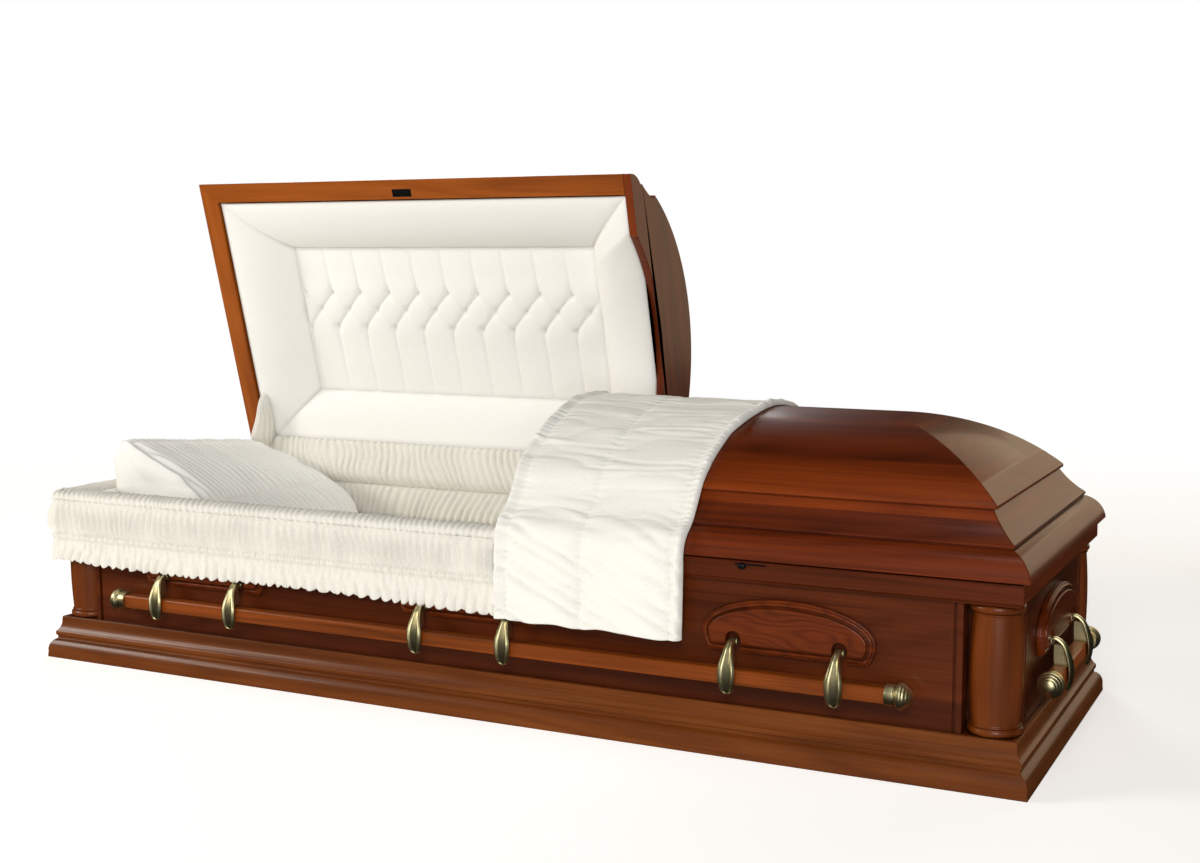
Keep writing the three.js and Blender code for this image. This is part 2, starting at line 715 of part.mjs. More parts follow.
bottomBoard();
sidePanels();
endPanels();
baseMouldings();
topRail();
cornerColumns();
earsAndHandles();
bedding();
rimSkirt();
lids();
overlay();

export default group;
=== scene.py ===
import json
import math

import bmesh
import bpy
import numpy as np
from mathutils import Euler, Matrix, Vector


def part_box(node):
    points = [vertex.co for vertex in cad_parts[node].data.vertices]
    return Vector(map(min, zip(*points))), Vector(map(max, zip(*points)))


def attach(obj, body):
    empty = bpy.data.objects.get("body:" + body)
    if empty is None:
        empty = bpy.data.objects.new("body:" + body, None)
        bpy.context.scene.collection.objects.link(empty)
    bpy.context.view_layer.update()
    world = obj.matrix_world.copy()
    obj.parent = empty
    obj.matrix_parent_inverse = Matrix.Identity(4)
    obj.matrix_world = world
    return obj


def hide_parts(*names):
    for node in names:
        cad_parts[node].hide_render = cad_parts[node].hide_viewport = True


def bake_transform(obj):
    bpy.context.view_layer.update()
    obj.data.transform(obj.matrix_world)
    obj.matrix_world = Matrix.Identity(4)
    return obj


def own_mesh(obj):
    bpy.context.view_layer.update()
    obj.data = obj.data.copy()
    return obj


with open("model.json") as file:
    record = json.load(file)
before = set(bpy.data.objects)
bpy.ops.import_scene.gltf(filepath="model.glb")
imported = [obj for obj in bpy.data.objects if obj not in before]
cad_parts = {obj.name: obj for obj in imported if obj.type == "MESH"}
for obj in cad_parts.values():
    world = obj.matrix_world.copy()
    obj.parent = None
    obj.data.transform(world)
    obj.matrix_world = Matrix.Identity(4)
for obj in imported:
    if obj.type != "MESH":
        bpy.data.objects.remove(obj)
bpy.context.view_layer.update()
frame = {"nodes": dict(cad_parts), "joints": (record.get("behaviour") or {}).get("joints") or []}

# Main sizes of the casket, read from the frame, in metres
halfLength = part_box("base_moulding_foot")[1].x
halfWidth = -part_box("base_moulding_front")[0].y
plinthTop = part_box("base_moulding_front")[1].z
railBottom, railTop = (corner.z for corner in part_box("top_rail"))
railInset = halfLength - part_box("top_rail")[1].x
lidBottom, ridgeHeight = (corner.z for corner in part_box("foot_lid"))
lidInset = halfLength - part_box("foot_lid")[1].x
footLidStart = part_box("foot_lid")[0].x
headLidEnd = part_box("head_lid")[1].x
headLidHinge = next(joint for joint in frame["joints"] if joint["name"] == "head_lid_hinge")
hingeY, hingeZ = headLidHinge["pos_m"][1:]
openAngle = math.radians(-headLidHinge["range_deg"][0])
mm = 0.001


# Camera, at the place solved from the straight edges of the photo
cameraView = {
    "place": (1.54439, -2.87685, 0.88074),
    "yaw": 26.48,  # degrees to the left of +Y
    "pitch": 6.52,  # degrees down
    "roll": 0.14,
    "lens": 47.864,
    "sensor": 36,
}


def makeCamera(view):
    camera = bpy.data.objects.new("camera", bpy.data.cameras.new("camera"))
    bpy.context.scene.collection.objects.link(camera)
    camera.data.lens = view["lens"]
    camera.data.sensor_width = view["sensor"]
    camera.data.sensor_fit = "HORIZONTAL"
    aim = Euler((math.radians(90 - view["pitch"]), 0, math.radians(view["yaw"]))).to_matrix()
    turn = Matrix.Rotation(math.radians(-view["roll"]), 3, "Z")
    camera.matrix_world = Matrix.Translation(view["place"]) @ (aim @ turn).to_4x4()
    bpy.context.scene.camera = camera


makeCamera(cameraView)
print("camera placed")


# Curves and sections, as arrays of (a, b) points

def arc(start, end, sagitta, steps):
    # A circular arc whose middle stands off the chord by sagitta, to the left of the way
    start, end = np.array(start, float), np.array(end, float)
    chord = np.linalg.norm(end - start)
    radius = (chord**2 / 4 + sagitta**2) / (2 * abs(sagitta))
    half = np.arcsin(min(1, chord / 2 / radius))
    turn = half * np.linspace(-1, 1, steps + 1)[:, None]
    way = (end - start) / chord
    side = np.array([-way[1], way[0]]) * np.sign(sagitta)
    off = radius * (np.cos(turn) - np.cos(half))
    return start + way * (chord / 2 + radius * np.sin(turn)) + side * off


def softened(path, radius, closed=True, steps=4, leastTurn=18):
    # Each corner that turns by more than leastTurn degrees becomes a parabola:
    # (1-t)^2 a + 2t(1-t) corner + t^2 b, with a and b one radius before and after it
    path = np.asarray(path, float)
    before, after = np.roll(path, 1, 0) - path, np.roll(path, -1, 0) - path
    reachBefore = np.linalg.norm(before, axis=1, keepdims=True)
    reachAfter = np.linalg.norm(after, axis=1, keepdims=True)
    before, after = before / reachBefore, after / reachAfter
    bend = np.degrees(np.arccos(np.clip(-(before * after).sum(1), -1, 1)))
    corner = bend > leastTurn
    if not closed:
        corner[[0, -1]] = False
    a = path + before * np.minimum(radius, reachBefore * 0.45)
    b = path + after * np.minimum(radius, reachAfter * 0.45)
    t = np.linspace(0, 1, steps)[None, :, None]
    curve = (1 - t) ** 2 * a[:, None] + 2 * t * (1 - t) * path[:, None] + t**2 * b[:, None]
    curve = np.where(corner[:, None, None], curve, path[:, None])
    return curve[corner[:, None] | (np.arange(steps)[None] == 0)]


def through(points, steps):
    # Catmull-Rom curve through the points, with steps samples to each stretch
    points = np.asarray(points, float)
    ends = np.vstack([2 * points[0] - points[1], points, 2 * points[-1] - points[-2]])
    t = np.linspace(0, len(points) - 1, steps * (len(points) - 1) + 1)
    i = np.minimum(t.astype(int), len(points) - 2)
    t = (t - i)[:, None]
    p0, p1, p2, p3 = ends[i], ends[i + 1], ends[i + 2], ends[i + 3]
    return p1 + 0.5 * t * (p2 - p0 + t * (2 * p0 - 5 * p1 + 4 * p2 - p3 + t * (3 * (p1 - p2) + p3 - p0)))


def runLength(points, closed=False):
    # Distance along a path, one value more than the points if it closes
    path = np.vstack([points, points[:1]]) if closed else np.asarray(points)
    return np.concatenate([[0], np.cumsum(np.linalg.norm(np.diff(path, axis=0), axis=1))])


def leftNormals(path):
    # Unit normals of an open path, to the left of the way
    way = np.gradient(path, axis=0)
    way /= np.linalg.norm(way, axis=1, keepdims=True)
    return np.stack([-way[:, 1], way[:, 0]], 1)


def resampled(path, lengths):
    # Points of a path at the given distances along it
    reach = runLength(path)
    return np.column_stack([np.interp(lengths, reach, path[:, k]) for k in (0, 1)])


def grown(path, distance):
    # A closed path moved outwards by distance along its own normals (path runs anticlockwise)
    way = np.roll(path, -1, 0) - np.roll(path, 1, 0)
    way /= np.linalg.norm(way, axis=1, keepdims=True)
    return path + np.stack([way[:, 1], -way[:, 0]], 1) * distance


noiseTable = np.random.default_rng(7).random((256, 256))


def noise(u, v, seed=0):
    # Smooth value noise from 0 to 1: random corners of a grid of step 1, eased between them
    u, v = np.broadcast_arrays(np.asarray(u, float) + seed * 17.3, np.asarray(v, float) + seed * 5.7)
    iu, iv = np.floor(u).astype(int), np.floor(v).astype(int)
    fu, fv = u - iu, v - iv
    fu, fv = fu * fu * (3 - 2 * fu), fv * fv * (3 - 2 * fv)
    at = lambda a, b: noiseTable[(iu + a) % 256, (iv + b) % 256]
    return (at(0, 0) * (1 - fu) + at(1, 0) * fu) * (1 - fv) + (at(0, 1) * (1 - fu) + at(1, 1) * fu) * fv


def eased(x, low, high):
    # 0 below low, 1 above high, smooth between them
    t = np.clip((x - low) / (high - low), 0, 1)
    return t * t * (3 - 2 * t)


# Meshes from grids

def patch(points, uv, wrap=False):
    # Quads between neighbours of a grid (rows, columns, 3); uv has one column more if it wraps
    rows, columns = points.shape[:2]
    i, j = np.meshgrid(np.arange(rows - 1), np.arange(columns - (not wrap)), indexing="ij")
    nextJ = (j + 1) % columns
    faces = np.stack([i * columns + j, i * columns + nextJ, (i + 1) * columns + nextJ,
                      (i + 1) * columns + j], -1)
    corners = np.stack([uv[i, j], uv[i, j + 1], uv[i + 1, j + 1], uv[i + 1, j]], -2)
    return {"points": points.reshape(-1, 3), "faces": faces.reshape(-1, 4), "uv": corners.reshape(-1, 2)}


def cap(ring, uv):
    # One flat face over a ring of points
    return {"points": np.asarray(ring, float), "faces": np.arange(len(ring))[None],
            "uv": np.asarray(uv, float)}


def loft(rings, uv, capped=True):
    # Closed rings (rows, columns, 3) joined in order, with a flat face at each end
    parts = [patch(rings, uv, wrap=True)]
    if capped:
        parts += [cap(rings[0][::-1], uv[0, :-1][::-1]), cap(rings[-1], uv[-1, :-1])]
    return parts


def moved(parts, matrix):
    turn, shift = np.array(matrix.to_3x3()), np.array(matrix.translation)
    return [{**part, "points": part["points"] @ turn.T + shift} for part in parts]


def painted(parts, index):
    return [{**part, "material": index} for part in parts]


def makePiece(name, parts, materials, sharpAngle=35, weld=1e-6, solid=True):
    # Joins the parts into one mesh, welds shared points and turns the faces outwards
    mesh = bpy.data.meshes.new(name)
    points, loops, sizes, paint, shift = [], [], [], [], 0
    for part in parts:
        points.append(part["points"])
        loops.append(part["faces"].ravel() + shift)
        sizes.append(np.full(len(part["faces"]), part["faces"].shape[1]))
        paint.append(np.full(len(part["faces"]), part.get("material", 0)))
        shift += len(part["points"])
    points, loops, sizes = np.concatenate(points), np.concatenate(loops), np.concatenate(sizes)
    mesh.vertices.add(len(points))
    mesh.vertices.foreach_set("co", points.astype(np.float32).ravel())
    mesh.loops.add(len(loops))
    mesh.loops.foreach_set("vertex_index", loops.astype(np.int32))
    mesh.polygons.add(len(sizes))
    mesh.polygons.foreach_set("loop_start", (np.cumsum(sizes) - sizes).astype(np.int32))
    mesh.polygons.foreach_set("material_index", np.concatenate(paint).astype(np.int32))
    mesh.update(calc_edges=True)
    layer = mesh.uv_layers.new(name="surface")
    layer.data.foreach_set("uv", np.concatenate([part["uv"] for part in parts]).astype(np.float32).ravel())
    work = bmesh.new()
    work.from_mesh(mesh)
    bmesh.ops.remove_doubles(work, verts=work.verts, dist=weld)
    bmesh.ops.dissolve_degenerate(work, edges=work.edges, dist=weld)
    if solid:
        bmesh.ops.recalc_face_normals(work, faces=work.faces)
    work.to_mesh(mesh)
    work.free()
    mesh.shade_smooth()
    mesh.set_sharp_from_angle(angle=math.radians(sharpAngle))
    for material in materials if isinstance(materials, list) else [materials]:
        mesh.materials.append(material)
    piece = bpy.data.objects.new(name, mesh)
    bpy.context.scene.collection.objects.link(piece)
    return piece


def carried(piece, body, slotName, *nodes):
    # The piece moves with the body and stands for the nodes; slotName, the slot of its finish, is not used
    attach(piece, body)
    if nodes:
        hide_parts(*nodes)
    return piece


def mitredLength(profile, face, run, mitreGap=0.2 * mm, board=0):
    # A closed profile (inset, z) along the front edge, both ends cut across at 45 degrees
    inset, height = profile[:, 0], profile[:, 1]
    end = run - inset - mitreGap
    rows = np.array([-1, 1])[:, None]
    x = rows * end
    points = np.stack([x, np.broadcast_to(inset - face, x.shape), np.broadcast_to(height, x.shape)], -1)
    across = runLength(profile, closed=True)
    u = rows * np.append(end, end[0]) + 10 * board
    uv = np.stack([u, np.broadcast_to(across, u.shape)], -1)
    return loft(points, uv)


sideTurns = {"front": 0, "back": 180, "foot": 90, "head": -90}


def turnedTo(parts, side):
    return moved(parts, Matrix.Rotation(math.radians(sideTurns[side]), 4, "Z"))


# Materials

def linear(hexColour):
    # An sRGB hex colour as linear red, green, blue and alpha
    values = [int(hexColour[i:i + 2], 16) / 255 for i in (1, 3, 5)]
    return [v / 12.92 if v <= 0.04045 else ((v + 0.055) / 1.055) ** 2.4 for v in values] + [1]


def addNode(tree, kind, settings=None, links=None):
    # Adds a node; a setting is an input's value (by name or place) or a property of the node
    node = tree.nodes.new(kind)
    for key, value in (settings or {}).items():
        if isinstance(key, int) or key in node.inputs:
            node.inputs[key].default_value = value
        else:
            setattr(node, key, value)
    for key, output in (links or {}).items():
        tree.links.new(output, node.inputs[key])
    return node


def newMaterial(name):
    material = bpy.data.materials.new(name)
    material.use_nodes = True
    material.node_tree.nodes.clear()
    return material, material.node_tree


def shown(tree, shader):
    # Sends a shader to the material's output
    addNode(tree, "ShaderNodeOutputMaterial", links={"Surface": shader.outputs[0]})


def rampOf(tree, factor, stops):
    # A colour ramp with stops of (place, sRGB hex)
    ramp = addNode(tree, "ShaderNodeValToRGB", links={"Fac": factor})
    elements = ramp.color_ramp.elements
    while len(elements) < len(stops):
        elements.new(0.5)
    for element, (place, colour) in zip(elements, stops):
        element.position = place
        element.color = linear(colour)
    return ramp


def mottled(tree, place, size, settings=None):
    # Noise of the given size in metres, fixed to the piece
    return addNode(tree, "ShaderNodeTexNoise", {"Scale": 1 / size, **(settings or {})},
                   {"Vector": place.outputs["Object"]})


# Stained and lacquered poplar: broad, quiet figure in even stain, satin coat over it
woodFinish = {
    "figure": 0.12,  # width and length of the growth figure on a flat-sawn face, metres
    "figureLength": 1.1,
    "rings": 60.0,
    "ringShare": 0.10,
    "band": 0.055,  # width and length of the broad bands where the stain took unevenly
    "bandLength": 0.9,
    "streak": 0.0035,  # width and length of the fine streaks
    "streakLength": 0.22,
    "roughness": 0.42,
    "specular": 0.22,
    "coat": 0.24,
    "coatRoughness": 0.15,
}
# Flat-sawn veneer with a tall cathedral figure, its growth lines 6 to 8 mm apart
veneerFinish = {**woodFinish, "figure": 0.05, "figureLength": 0.20, "rings": 70.0, "ringShare": 0.17}


def lacqueredWood(name, light, middle, dark, along="uv", stave=0.0, finish=woodFinish):
    # along says which way the grain runs: "uv" along U, or the object's x or y; stave is the
    # width of the boards that a face is glued up from
    material, tree = newMaterial(name)
    place = addNode(tree, "ShaderNodeTexCoord")
    source = place.outputs["UV"] if along == "uv" else place.outputs["Object"]
    split = addNode(tree, "ShaderNodeSeparateXYZ", links={0: source})
    x, y, z = split.outputs
    u, v, depth = {"uv": (x, y, z), "x": (x, z, y), "y": (y, z, x)}[along]

    def math2(operation, a, b, c=None):
        links, settings = {}, {"operation": operation}
        for index, value in enumerate((a, b, c)):
            if value is None:
                continue
            if isinstance(value, (int, float)):
                settings[index] = value
            else:
                links[index] = value
        return addNode(tree, "ShaderNodeMath", settings, links).outputs[0]

    # Each board has its own number: tens of metres of U, and staves across V
    board = math2("FLOOR", math2("MULTIPLY_ADD", u, 0.1, 0.5), 0.0)
    if stave:
        board = math2("MULTIPLY_ADD", math2("FLOOR", math2("DIVIDE", v, stave), 0.0), 7.3, board)
    tone = addNode(tree, "ShaderNodeTexWhiteNoise", {"noise_dimensions": "1D"},
                   {"W": board}).outputs["Value"]

    def grainNoise(length, width, detail, shift):
        # Noise drawn out along the grain, other on each board
        vector = addNode(tree, "ShaderNodeCombineXYZ", links={
            0: math2("MULTIPLY_ADD", u, 1 / length, shift),
            1: math2("DIVIDE", v, width),
            2: math2("ADD", math2("DIVIDE", depth, width), math2("MULTIPLY", board, 3.17))})
        return addNode(tree, "ShaderNodeTexNoise", {"Scale": 1.0, "Detail": detail, "Roughness": 0.55},
                       {"Vector": vector.outputs[0]}).outputs["Fac"]

    slow = grainNoise(finish["figureLength"], finish["figure"], 1.0, 3.0)
    rings = math2("SINE", math2("MULTIPLY", slow, finish["rings"]), 0.0)
    rings = math2("POWER", math2("MULTIPLY_ADD", rings, 0.5, 0.5), 0.6)
    bands = grainNoise(finish["bandLength"], finish["band"], 1.5, 5.0)
    streaks = grainNoise(finish["streakLength"], finish["streak"], 4.0, 9.0)
    fine = grainNoise(finish["streakLength"] / 4, finish["streak"] / 5, 3.0, 1.0)
    # Bands, growth rings, streaks, pores and each board's own tone add up to one shade
    shade = math2("MULTIPLY_ADD", bands, 0.50, -0.12)
    growth = math2("MULTIPLY_ADD", rings, finish["ringShare"], -0.6 * finish["ringShare"])
    shade = math2("ADD", shade, growth)
    for layer, share in ((streaks, 0.32), (fine, 0.10), (tone, 0.28)):
        shade = math2("ADD", shade, math2("MULTIPLY", layer, share))
    stained = rampOf(tree, shade, [(0.22, dark), (0.50, middle), (0.80, light)])
    # Painted shade: the stain's colour is darkened where the occlusion node finds grooves and inside
    # corners
    corner = addNode(tree, "ShaderNodeAmbientOcclusion", {"Distance": 0.006, "samples": 5})
    occlusionShade = addNode(tree, "ShaderNodeMapRange", {"From Min": 0.30, "From Max": 0.75, "To Min": 0.50},
                       {"Value": corner.outputs["AO"]})
    colour = addNode(tree, "ShaderNodeVectorMath", {"operation": "SCALE"},
                     {0: stained.outputs["Color"], "Scale": occlusionShade.outputs["Result"]})
    roughness = math2("MULTIPLY_ADD", streaks, 0.12, finish["roughness"] - 0.06)
    bump = addNode(tree, "ShaderNodeBump", {"Strength": 0.12, "Distance": 0.0004},
                   {"Height": math2("MULTIPLY_ADD", streaks, 0.6, math2("MULTIPLY", fine, 0.5))})
    shader = addNode(tree, "ShaderNodeBsdfPrincipled", {
        "IOR": 1.5, "Specular IOR Level": finish["specular"], "Coat Weight": finish["coat"],
        "Coat Roughness": finish["coatRoughness"], "Coat IOR": 1.5,
    }, {"Base Color": colour.outputs[0], "Roughness": roughness, "Normal": bump.outputs["Normal"]})
    shown(tree, shader)
    return material


# Antique brass: cast and plated, brushed on the high places, brown left in the low ones
brassFinish = {
    "bright": "#d6cb9c", "middle": "#a39668", "dark": "#4a4024", "roughness": 0.34,
    "mottle": 0.012, "brush": 0.0006,  # sizes of the patina's spots and of the brush marks, metres
}


def antiqueBrass(name, finish=brassFinish):
    material, tree = newMaterial(name)
    place = addNode(tree, "ShaderNodeTexCoord")
    mottle = mottled(tree, place, finish["mottle"], {"Detail": 4.0, "Roughness": 0.6})
    brush = mottled(tree, place, finish["brush"] * 3, {"Detail": 3.0})
    hollow = addNode(tree, "ShaderNodeAmbientOcclusion", {"Distance": 0.006, "samples": 8})
    worn = addNode(tree, "ShaderNodeMath", {"operation": "MULTIPLY_ADD", 1: 0.5, 2: -0.25},
                   {0: mottle.outputs["Fac"]})
    level = addNode(tree, "ShaderNodeMath", {"operation": "ADD"},
                    {0: hollow.outputs["AO"], 1: worn.outputs[0]})
    colour = rampOf(tree, level.outputs[0],
                    [(0.35, finish["dark"]), (0.72, finish["middle"]), (1.0, finish["bright"])])
    roughness = addNode(tree, "ShaderNodeMath",
                        {"operation": "MULTIPLY_ADD", 1: 0.25, 2: finish["roughness"] - 0.08},
                        {0: brush.outputs["Fac"]})
    bump = addNode(tree, "ShaderNodeBump", {"Strength": 0.18, "Distance": 0.0003},
                   {"Height": brush.outputs["Fac"]})
    shader = addNode(tree, "ShaderNodeBsdfPrincipled", {"Metallic": 1.0}, {
        "Base Color": colour.outputs["Color"], "Roughness": roughness.outputs[0],
        "Normal": bump.outputs["Normal"]})
    shown(tree, shader)
    return material


def blackSteel(name):
    # Blackened steel: dull dark bluish grey, with a soft shine on the edges
    material, tree = newMaterial(name)
    place = addNode(tree, "ShaderNodeTexCoord")
    speck = mottled(tree, place, 0.002, {"Detail": 3.0})
    colour = rampOf(tree, speck.outputs["Fac"], [(0.3, "#141414"), (0.7, "#2c2c2e")])
    shader = addNode(tree, "ShaderNodeBsdfPrincipled", {"Metallic": 0.8, "Roughness": 0.42},
                     {"Base Color": colour.outputs["Color"]})
    shown(tree, shader)
    return material


# Ivory crepe: matt crinkled weave, warm white, with a faint sheen where it turns away. valley
# is the share of light left in the painted shade between gathers; crinkle and thread are sizes
# in metres. The three finishes are one crepe in three brightnesses: the shirred cloth is painted
# darker and the draped and padded cloth painted lighter, painted shade and painted light that
# stand in for how the light falls on them.
clothFinish = {"light": "#eeebe1", "dark": "#e4e0d4", "valley": 0.74, "crinkle": 0.0016, "thread": 0.0007}
# Painted light: the draped and padded finishes are the same crepe painted lighter
drapedLitFinish = {**clothFinish, "light": "#f8f6ee", "dark": "#f2efe6"}
paddedLitFinish = {**clothFinish, "light": "#fefdf8", "dark": "#f9f7f0", "crinkle": 0.0012}


def ivoryCrepe(name, finish=clothFinish):
    material, tree = newMaterial(name)
    place = addNode(tree, "ShaderNodeTexCoord")
    crinkle = mottled(tree, place, finish["crinkle"] * 2, {"Detail": 3.0, "Distortion": 1.2})
    thread = addNode(tree, "ShaderNodeTexVoronoi", {"Scale": 1 / finish["thread"]},
                     {"Vector": place.outputs["Object"]})
    colour = rampOf(tree, crinkle.outputs["Fac"], [(0.3, finish["dark"]), (0.6, finish["light"])])
    # Valleys between gathers lose light
    valley = addNode(tree, "ShaderNodeAmbientOcclusion", {"Distance": 0.014, "samples": 5})
    lit = addNode(tree, "ShaderNodeMapRange",
                  {"From Min": 0.35, "From Max": 0.92, "To Min": finish["valley"]},
                  {"Value": valley.outputs["AO"]})
    cloth = addNode(tree, "ShaderNodeVectorMath", {"operation": "SCALE"},
                    {0: colour.outputs["Color"], "Scale": lit.outputs["Result"]})
    height = addNode(tree, "ShaderNodeMath", {"operation": "MULTIPLY_ADD", 1: 0.25},
                     {0: thread.outputs["Distance"], 2: crinkle.outputs["Fac"]})
    bump = addNode(tree, "ShaderNodeBump", {"Strength": 0.22, "Distance": 0.0005},
                   {"Height": height.outputs[0]})
    shader = addNode(tree, "ShaderNodeBsdfPrincipled", {
        "Roughness": 0.88, "Sheen Weight": 0.10, "Sheen Roughness": 0.5, "Specular IOR Level": 0.2,
    }, {"Base Color": cloth.outputs[0], "Normal": bump.outputs["Normal"]})
    shown(tree, shader)
    return material


# Light, middle and dark stain of each member; the rims and the bar took it lighter
lidWood = lacqueredWood("stained poplar, lid", "#964008", "#702a04", "#4a1803", stave=0.118)
rimWood = lacqueredWood("stained poplar, lid rim", "#b96420", "#9e4f0d", "#743306")
railWood = lacqueredWood("stained poplar, rail", "#8a3c08", "#6a2803", "#451a02")
mouldingWood = lacqueredWood("stained poplar, moulding", "#8a4c19", "#69330a", "#401d04")
panelBrowns = "#6a2d06", "#4e1d03", "#311102"
panelWoodX = lacqueredWood("stained poplar, side board", *panelBrowns, along="x", stave=0.14)
panelWoodY = lacqueredWood("stained poplar, end board", *panelBrowns, along="y", stave=0.14)
earWood = lacqueredWood("figured veneer, ear", "#7e3606", "#682803", "#401602", finish=veneerFinish)
columnWood = lacqueredWood("stained poplar, column", "#86420d", "#6b3006", "#431c03")
barWood = lacqueredWood("stained hardwood, bar", "#aa541b", "#8a4008", "#582704")
brass = antiqueBrass("antique brass")
steel = blackSteel("blackened steel")
# Painted shade and painted light: one crepe, painted darker where shirred and lighter where draped or
# padded
crepe = ivoryCrepe("ivory crepe, shirred, painted darker")
drapedLitCrepe = ivoryCrepe("ivory crepe, draped, painted lighter", drapedLitFinish)
paddedLitCrepe = ivoryCrepe("ivory crepe, padded, painted lighter", paddedLitFinish)
print("materials made")


# Box: mouldings, rail and columns

plinthForm = {
    "inner": 34.2 * mm, "toe": 10 * mm, "lip": 13 * mm, "groove": 16 * mm,
    "grooveBottom": 38 * mm, "grooveTop": 48 * mm, "top": 24 * mm, "edge": 1.2 * mm,
}


def baseMouldings(form=plinthForm):
    # Closed profile of (inset, z): convex toe, narrow groove, concave member under a thin lip
    toeTop = (form["toe"], form["grooveBottom"] - 1 * mm)
    lipTop = (form["lip"], form["grooveTop"] + 7 * mm)
    profile = np.vstack([
        [(form["inner"], 0), (0, 0)], arc((1 * mm, 13 * mm), toeTop, 3 * mm, 8),
        [(form["groove"], form["grooveBottom"] + 2 * mm), (form["groove"], form["grooveTop"] - 2 * mm),
         (form["lip"], form["grooveTop"])],
        arc(lipTop, (form["top"] - 1 * mm, plinthTop - 8 * mm), -3 * mm, 10),
        [(form["top"], plinthTop), (form["inner"], plinthTop)]])
    profile = softened(profile, form["edge"])
    for index, side in enumerate(sideTurns):
        face, run = (halfWidth, halfLength) if side in ("front", "back") else (halfLength, halfWidth)
        parts = turnedTo(mitredLength(profile, face, run, board=index), side)
        piece = makePiece(f"plinth_moulding_{side}", parts, mouldingWood)
        carried(piece, "box", "moulding_wood", f"base_moulding_{side}")


railForm = {"inner": 54.5 * mm, "round": 7 * mm, "edge": 1.5 * mm, "cornerCut": 118 * mm}


def topRail(form=railForm):
    # Four mitred lengths, the outer lower edge well rounded, and a block in each inner corner
    inset = railInset
    profile = np.vstack([
        [(form["inner"], railTop), (form["inner"], railBottom), (inset + form["round"], railBottom)],
        arc((inset + form["round"], railBottom), (inset, railBottom + form["round"]), -2.05 * mm, 6)[1:],
        [(inset, railTop)]])
    profile = softened(profile, form["edge"])
    parts = []
    for index, side in enumerate(sideTurns):
        face, run = (halfWidth, halfLength) if side in ("front", "back") else (halfLength, halfWidth)
        parts += turnedTo(mitredLength(profile, face, run, board=index + 4), side)
    x, y, cut = halfLength - form["inner"], halfWidth - form["inner"], form["cornerCut"]
    plan = np.array([(x, y), (x - cut, y), (x, y - cut)])
    for signX in (-1, 1):
        for signY in (-1, 1):
            corner = plan * (signX, signY)
            rings = np.stack([np.column_stack([corner, np.full(3, z)]) for z in (railBottom, railTop)])
            uv = np.broadcast_to(np.vstack([corner, corner[:1]]), (2, 4, 2))
            parts += loft(rings, uv)
    piece = makePiece("rim_rail", parts, railWood)
    carried(piece, "box", "rail_wood", "top_rail")


columnForm = {
    "inset": 70 * mm, "waist": 40.5 * mm, "belly": 44.5 * mm, "bead": 46 * mm, "beadHeight": 15 * mm,
    "corner": 2.7 * mm, "neck": 3 * mm, "fillet": 2.2 * mm, "edge": 1.2 * mm, "clearance": 0.3 * mm,
    "sides": 72,
}


def cornerColumns(form=columnForm):
    # Turned profile (radius, z), three quarters round: rings of radius r(z) with the inner corner cut
    low, high = plinthTop + form["clearance"], railBottom - form["clearance"]
    bead, radius = form["beadHeight"], form["beadHeight"] / 2
    neck = form["bead"] - radius
    turn = np.linspace(-90, 90, 15)
    swell = lambda middle: np.column_stack([neck + radius * np.cos(np.radians(turn)),
                                            middle + radius * np.sin(np.radians(turn))])
    shaftLow, shaftHigh = low + bead + form["neck"], high - bead - form["neck"]
    shaft = arc((form["waist"], shaftLow), (form["waist"], shaftHigh), form["waist"] - form["belly"], 28)
    step = form["waist"] + form["fillet"]
    profile = np.vstack([swell(low + radius), [(step, low + bead), (step, low + bead + 2 * mm)], shaft,
                         [(step, high - bead - 2 * mm), (step, high - bead)], swell(high - radius)])
    profile = softened(profile, form["edge"], closed=False)
    angle = np.radians(np.linspace(-90 - 3.8, 180 + 3.8, form["sides"]))
    ringX = profile[:, :1] * np.cos(angle)
    ringY = profile[:, :1] * np.sin(angle)
    corner = np.full((len(profile), 1), -form["corner"])
    ringX, ringY = np.hstack([ringX, corner]), np.hstack([ringY, corner])
    height = np.broadcast_to(profile[:, 1:], ringX.shape)
    rings = np.stack([ringX, ringY, height], -1)
    across = np.append(np.append(angle, angle[-1] + 0.5), angle[-1] + 1) * form["belly"]
    uv = np.stack(np.broadcast_arrays(profile[:, 1:], across[None]), -1)
    corners = [("foot_back", 1, 1, 0), ("head_back", -1, 1, 90), ("head_front", -1, -1, 180),
               ("foot_front", 1, -1, 270)]
    for index, (place, signX, signY, turned) in enumerate(corners):
        shifted = uv + np.array([10.0 * (index + 8), 0])
        spin = Matrix.Rotation(math.radians(turned), 4, "Z")
        cornerX, cornerY = signX * (halfLength - form["inset"]), signY * (halfWidth - form["inset"])
        at = Matrix.Translation((cornerX, cornerY, 0))
        piece = makePiece(f"turned_column_{place}", moved(loft(rings, shifted), at @ spin), columnWood)
        carried(piece, "box", "rail_wood", f"corner_column_{place}")


def boards():
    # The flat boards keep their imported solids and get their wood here
    for node, material in (("side_panel_front", panelWoodX), ("side_panel_back", panelWoodX),
                           ("end_panel_head", panelWoodY), ("end_panel_foot", panelWoodY),
                           ("bottom_board", panelWoodX)):
        piece = frame["nodes"][node]
        piece.data.materials.clear()
        piece.data.materials.append(material)


baseMouldings()
topRail()
cornerColumns()
boards()
print("box made")


# Ears: moulded plates with a raised veneered field, slotted for the handle's arms

earForm = {
    "halfWidth": 156.5 * mm, "bottom": 184 * mm, "spring": 220 * mm, "top": 282 * mm,
    "lowerRadius": 90 * mm,
    "upperSteps": 72, "sideSteps": 10, "bottomSteps": 20,
    "notchWidth": 28 * mm, "notchTop": 222 * mm, "armSpacing": 192 * mm, "spacing": 637 * mm,
}
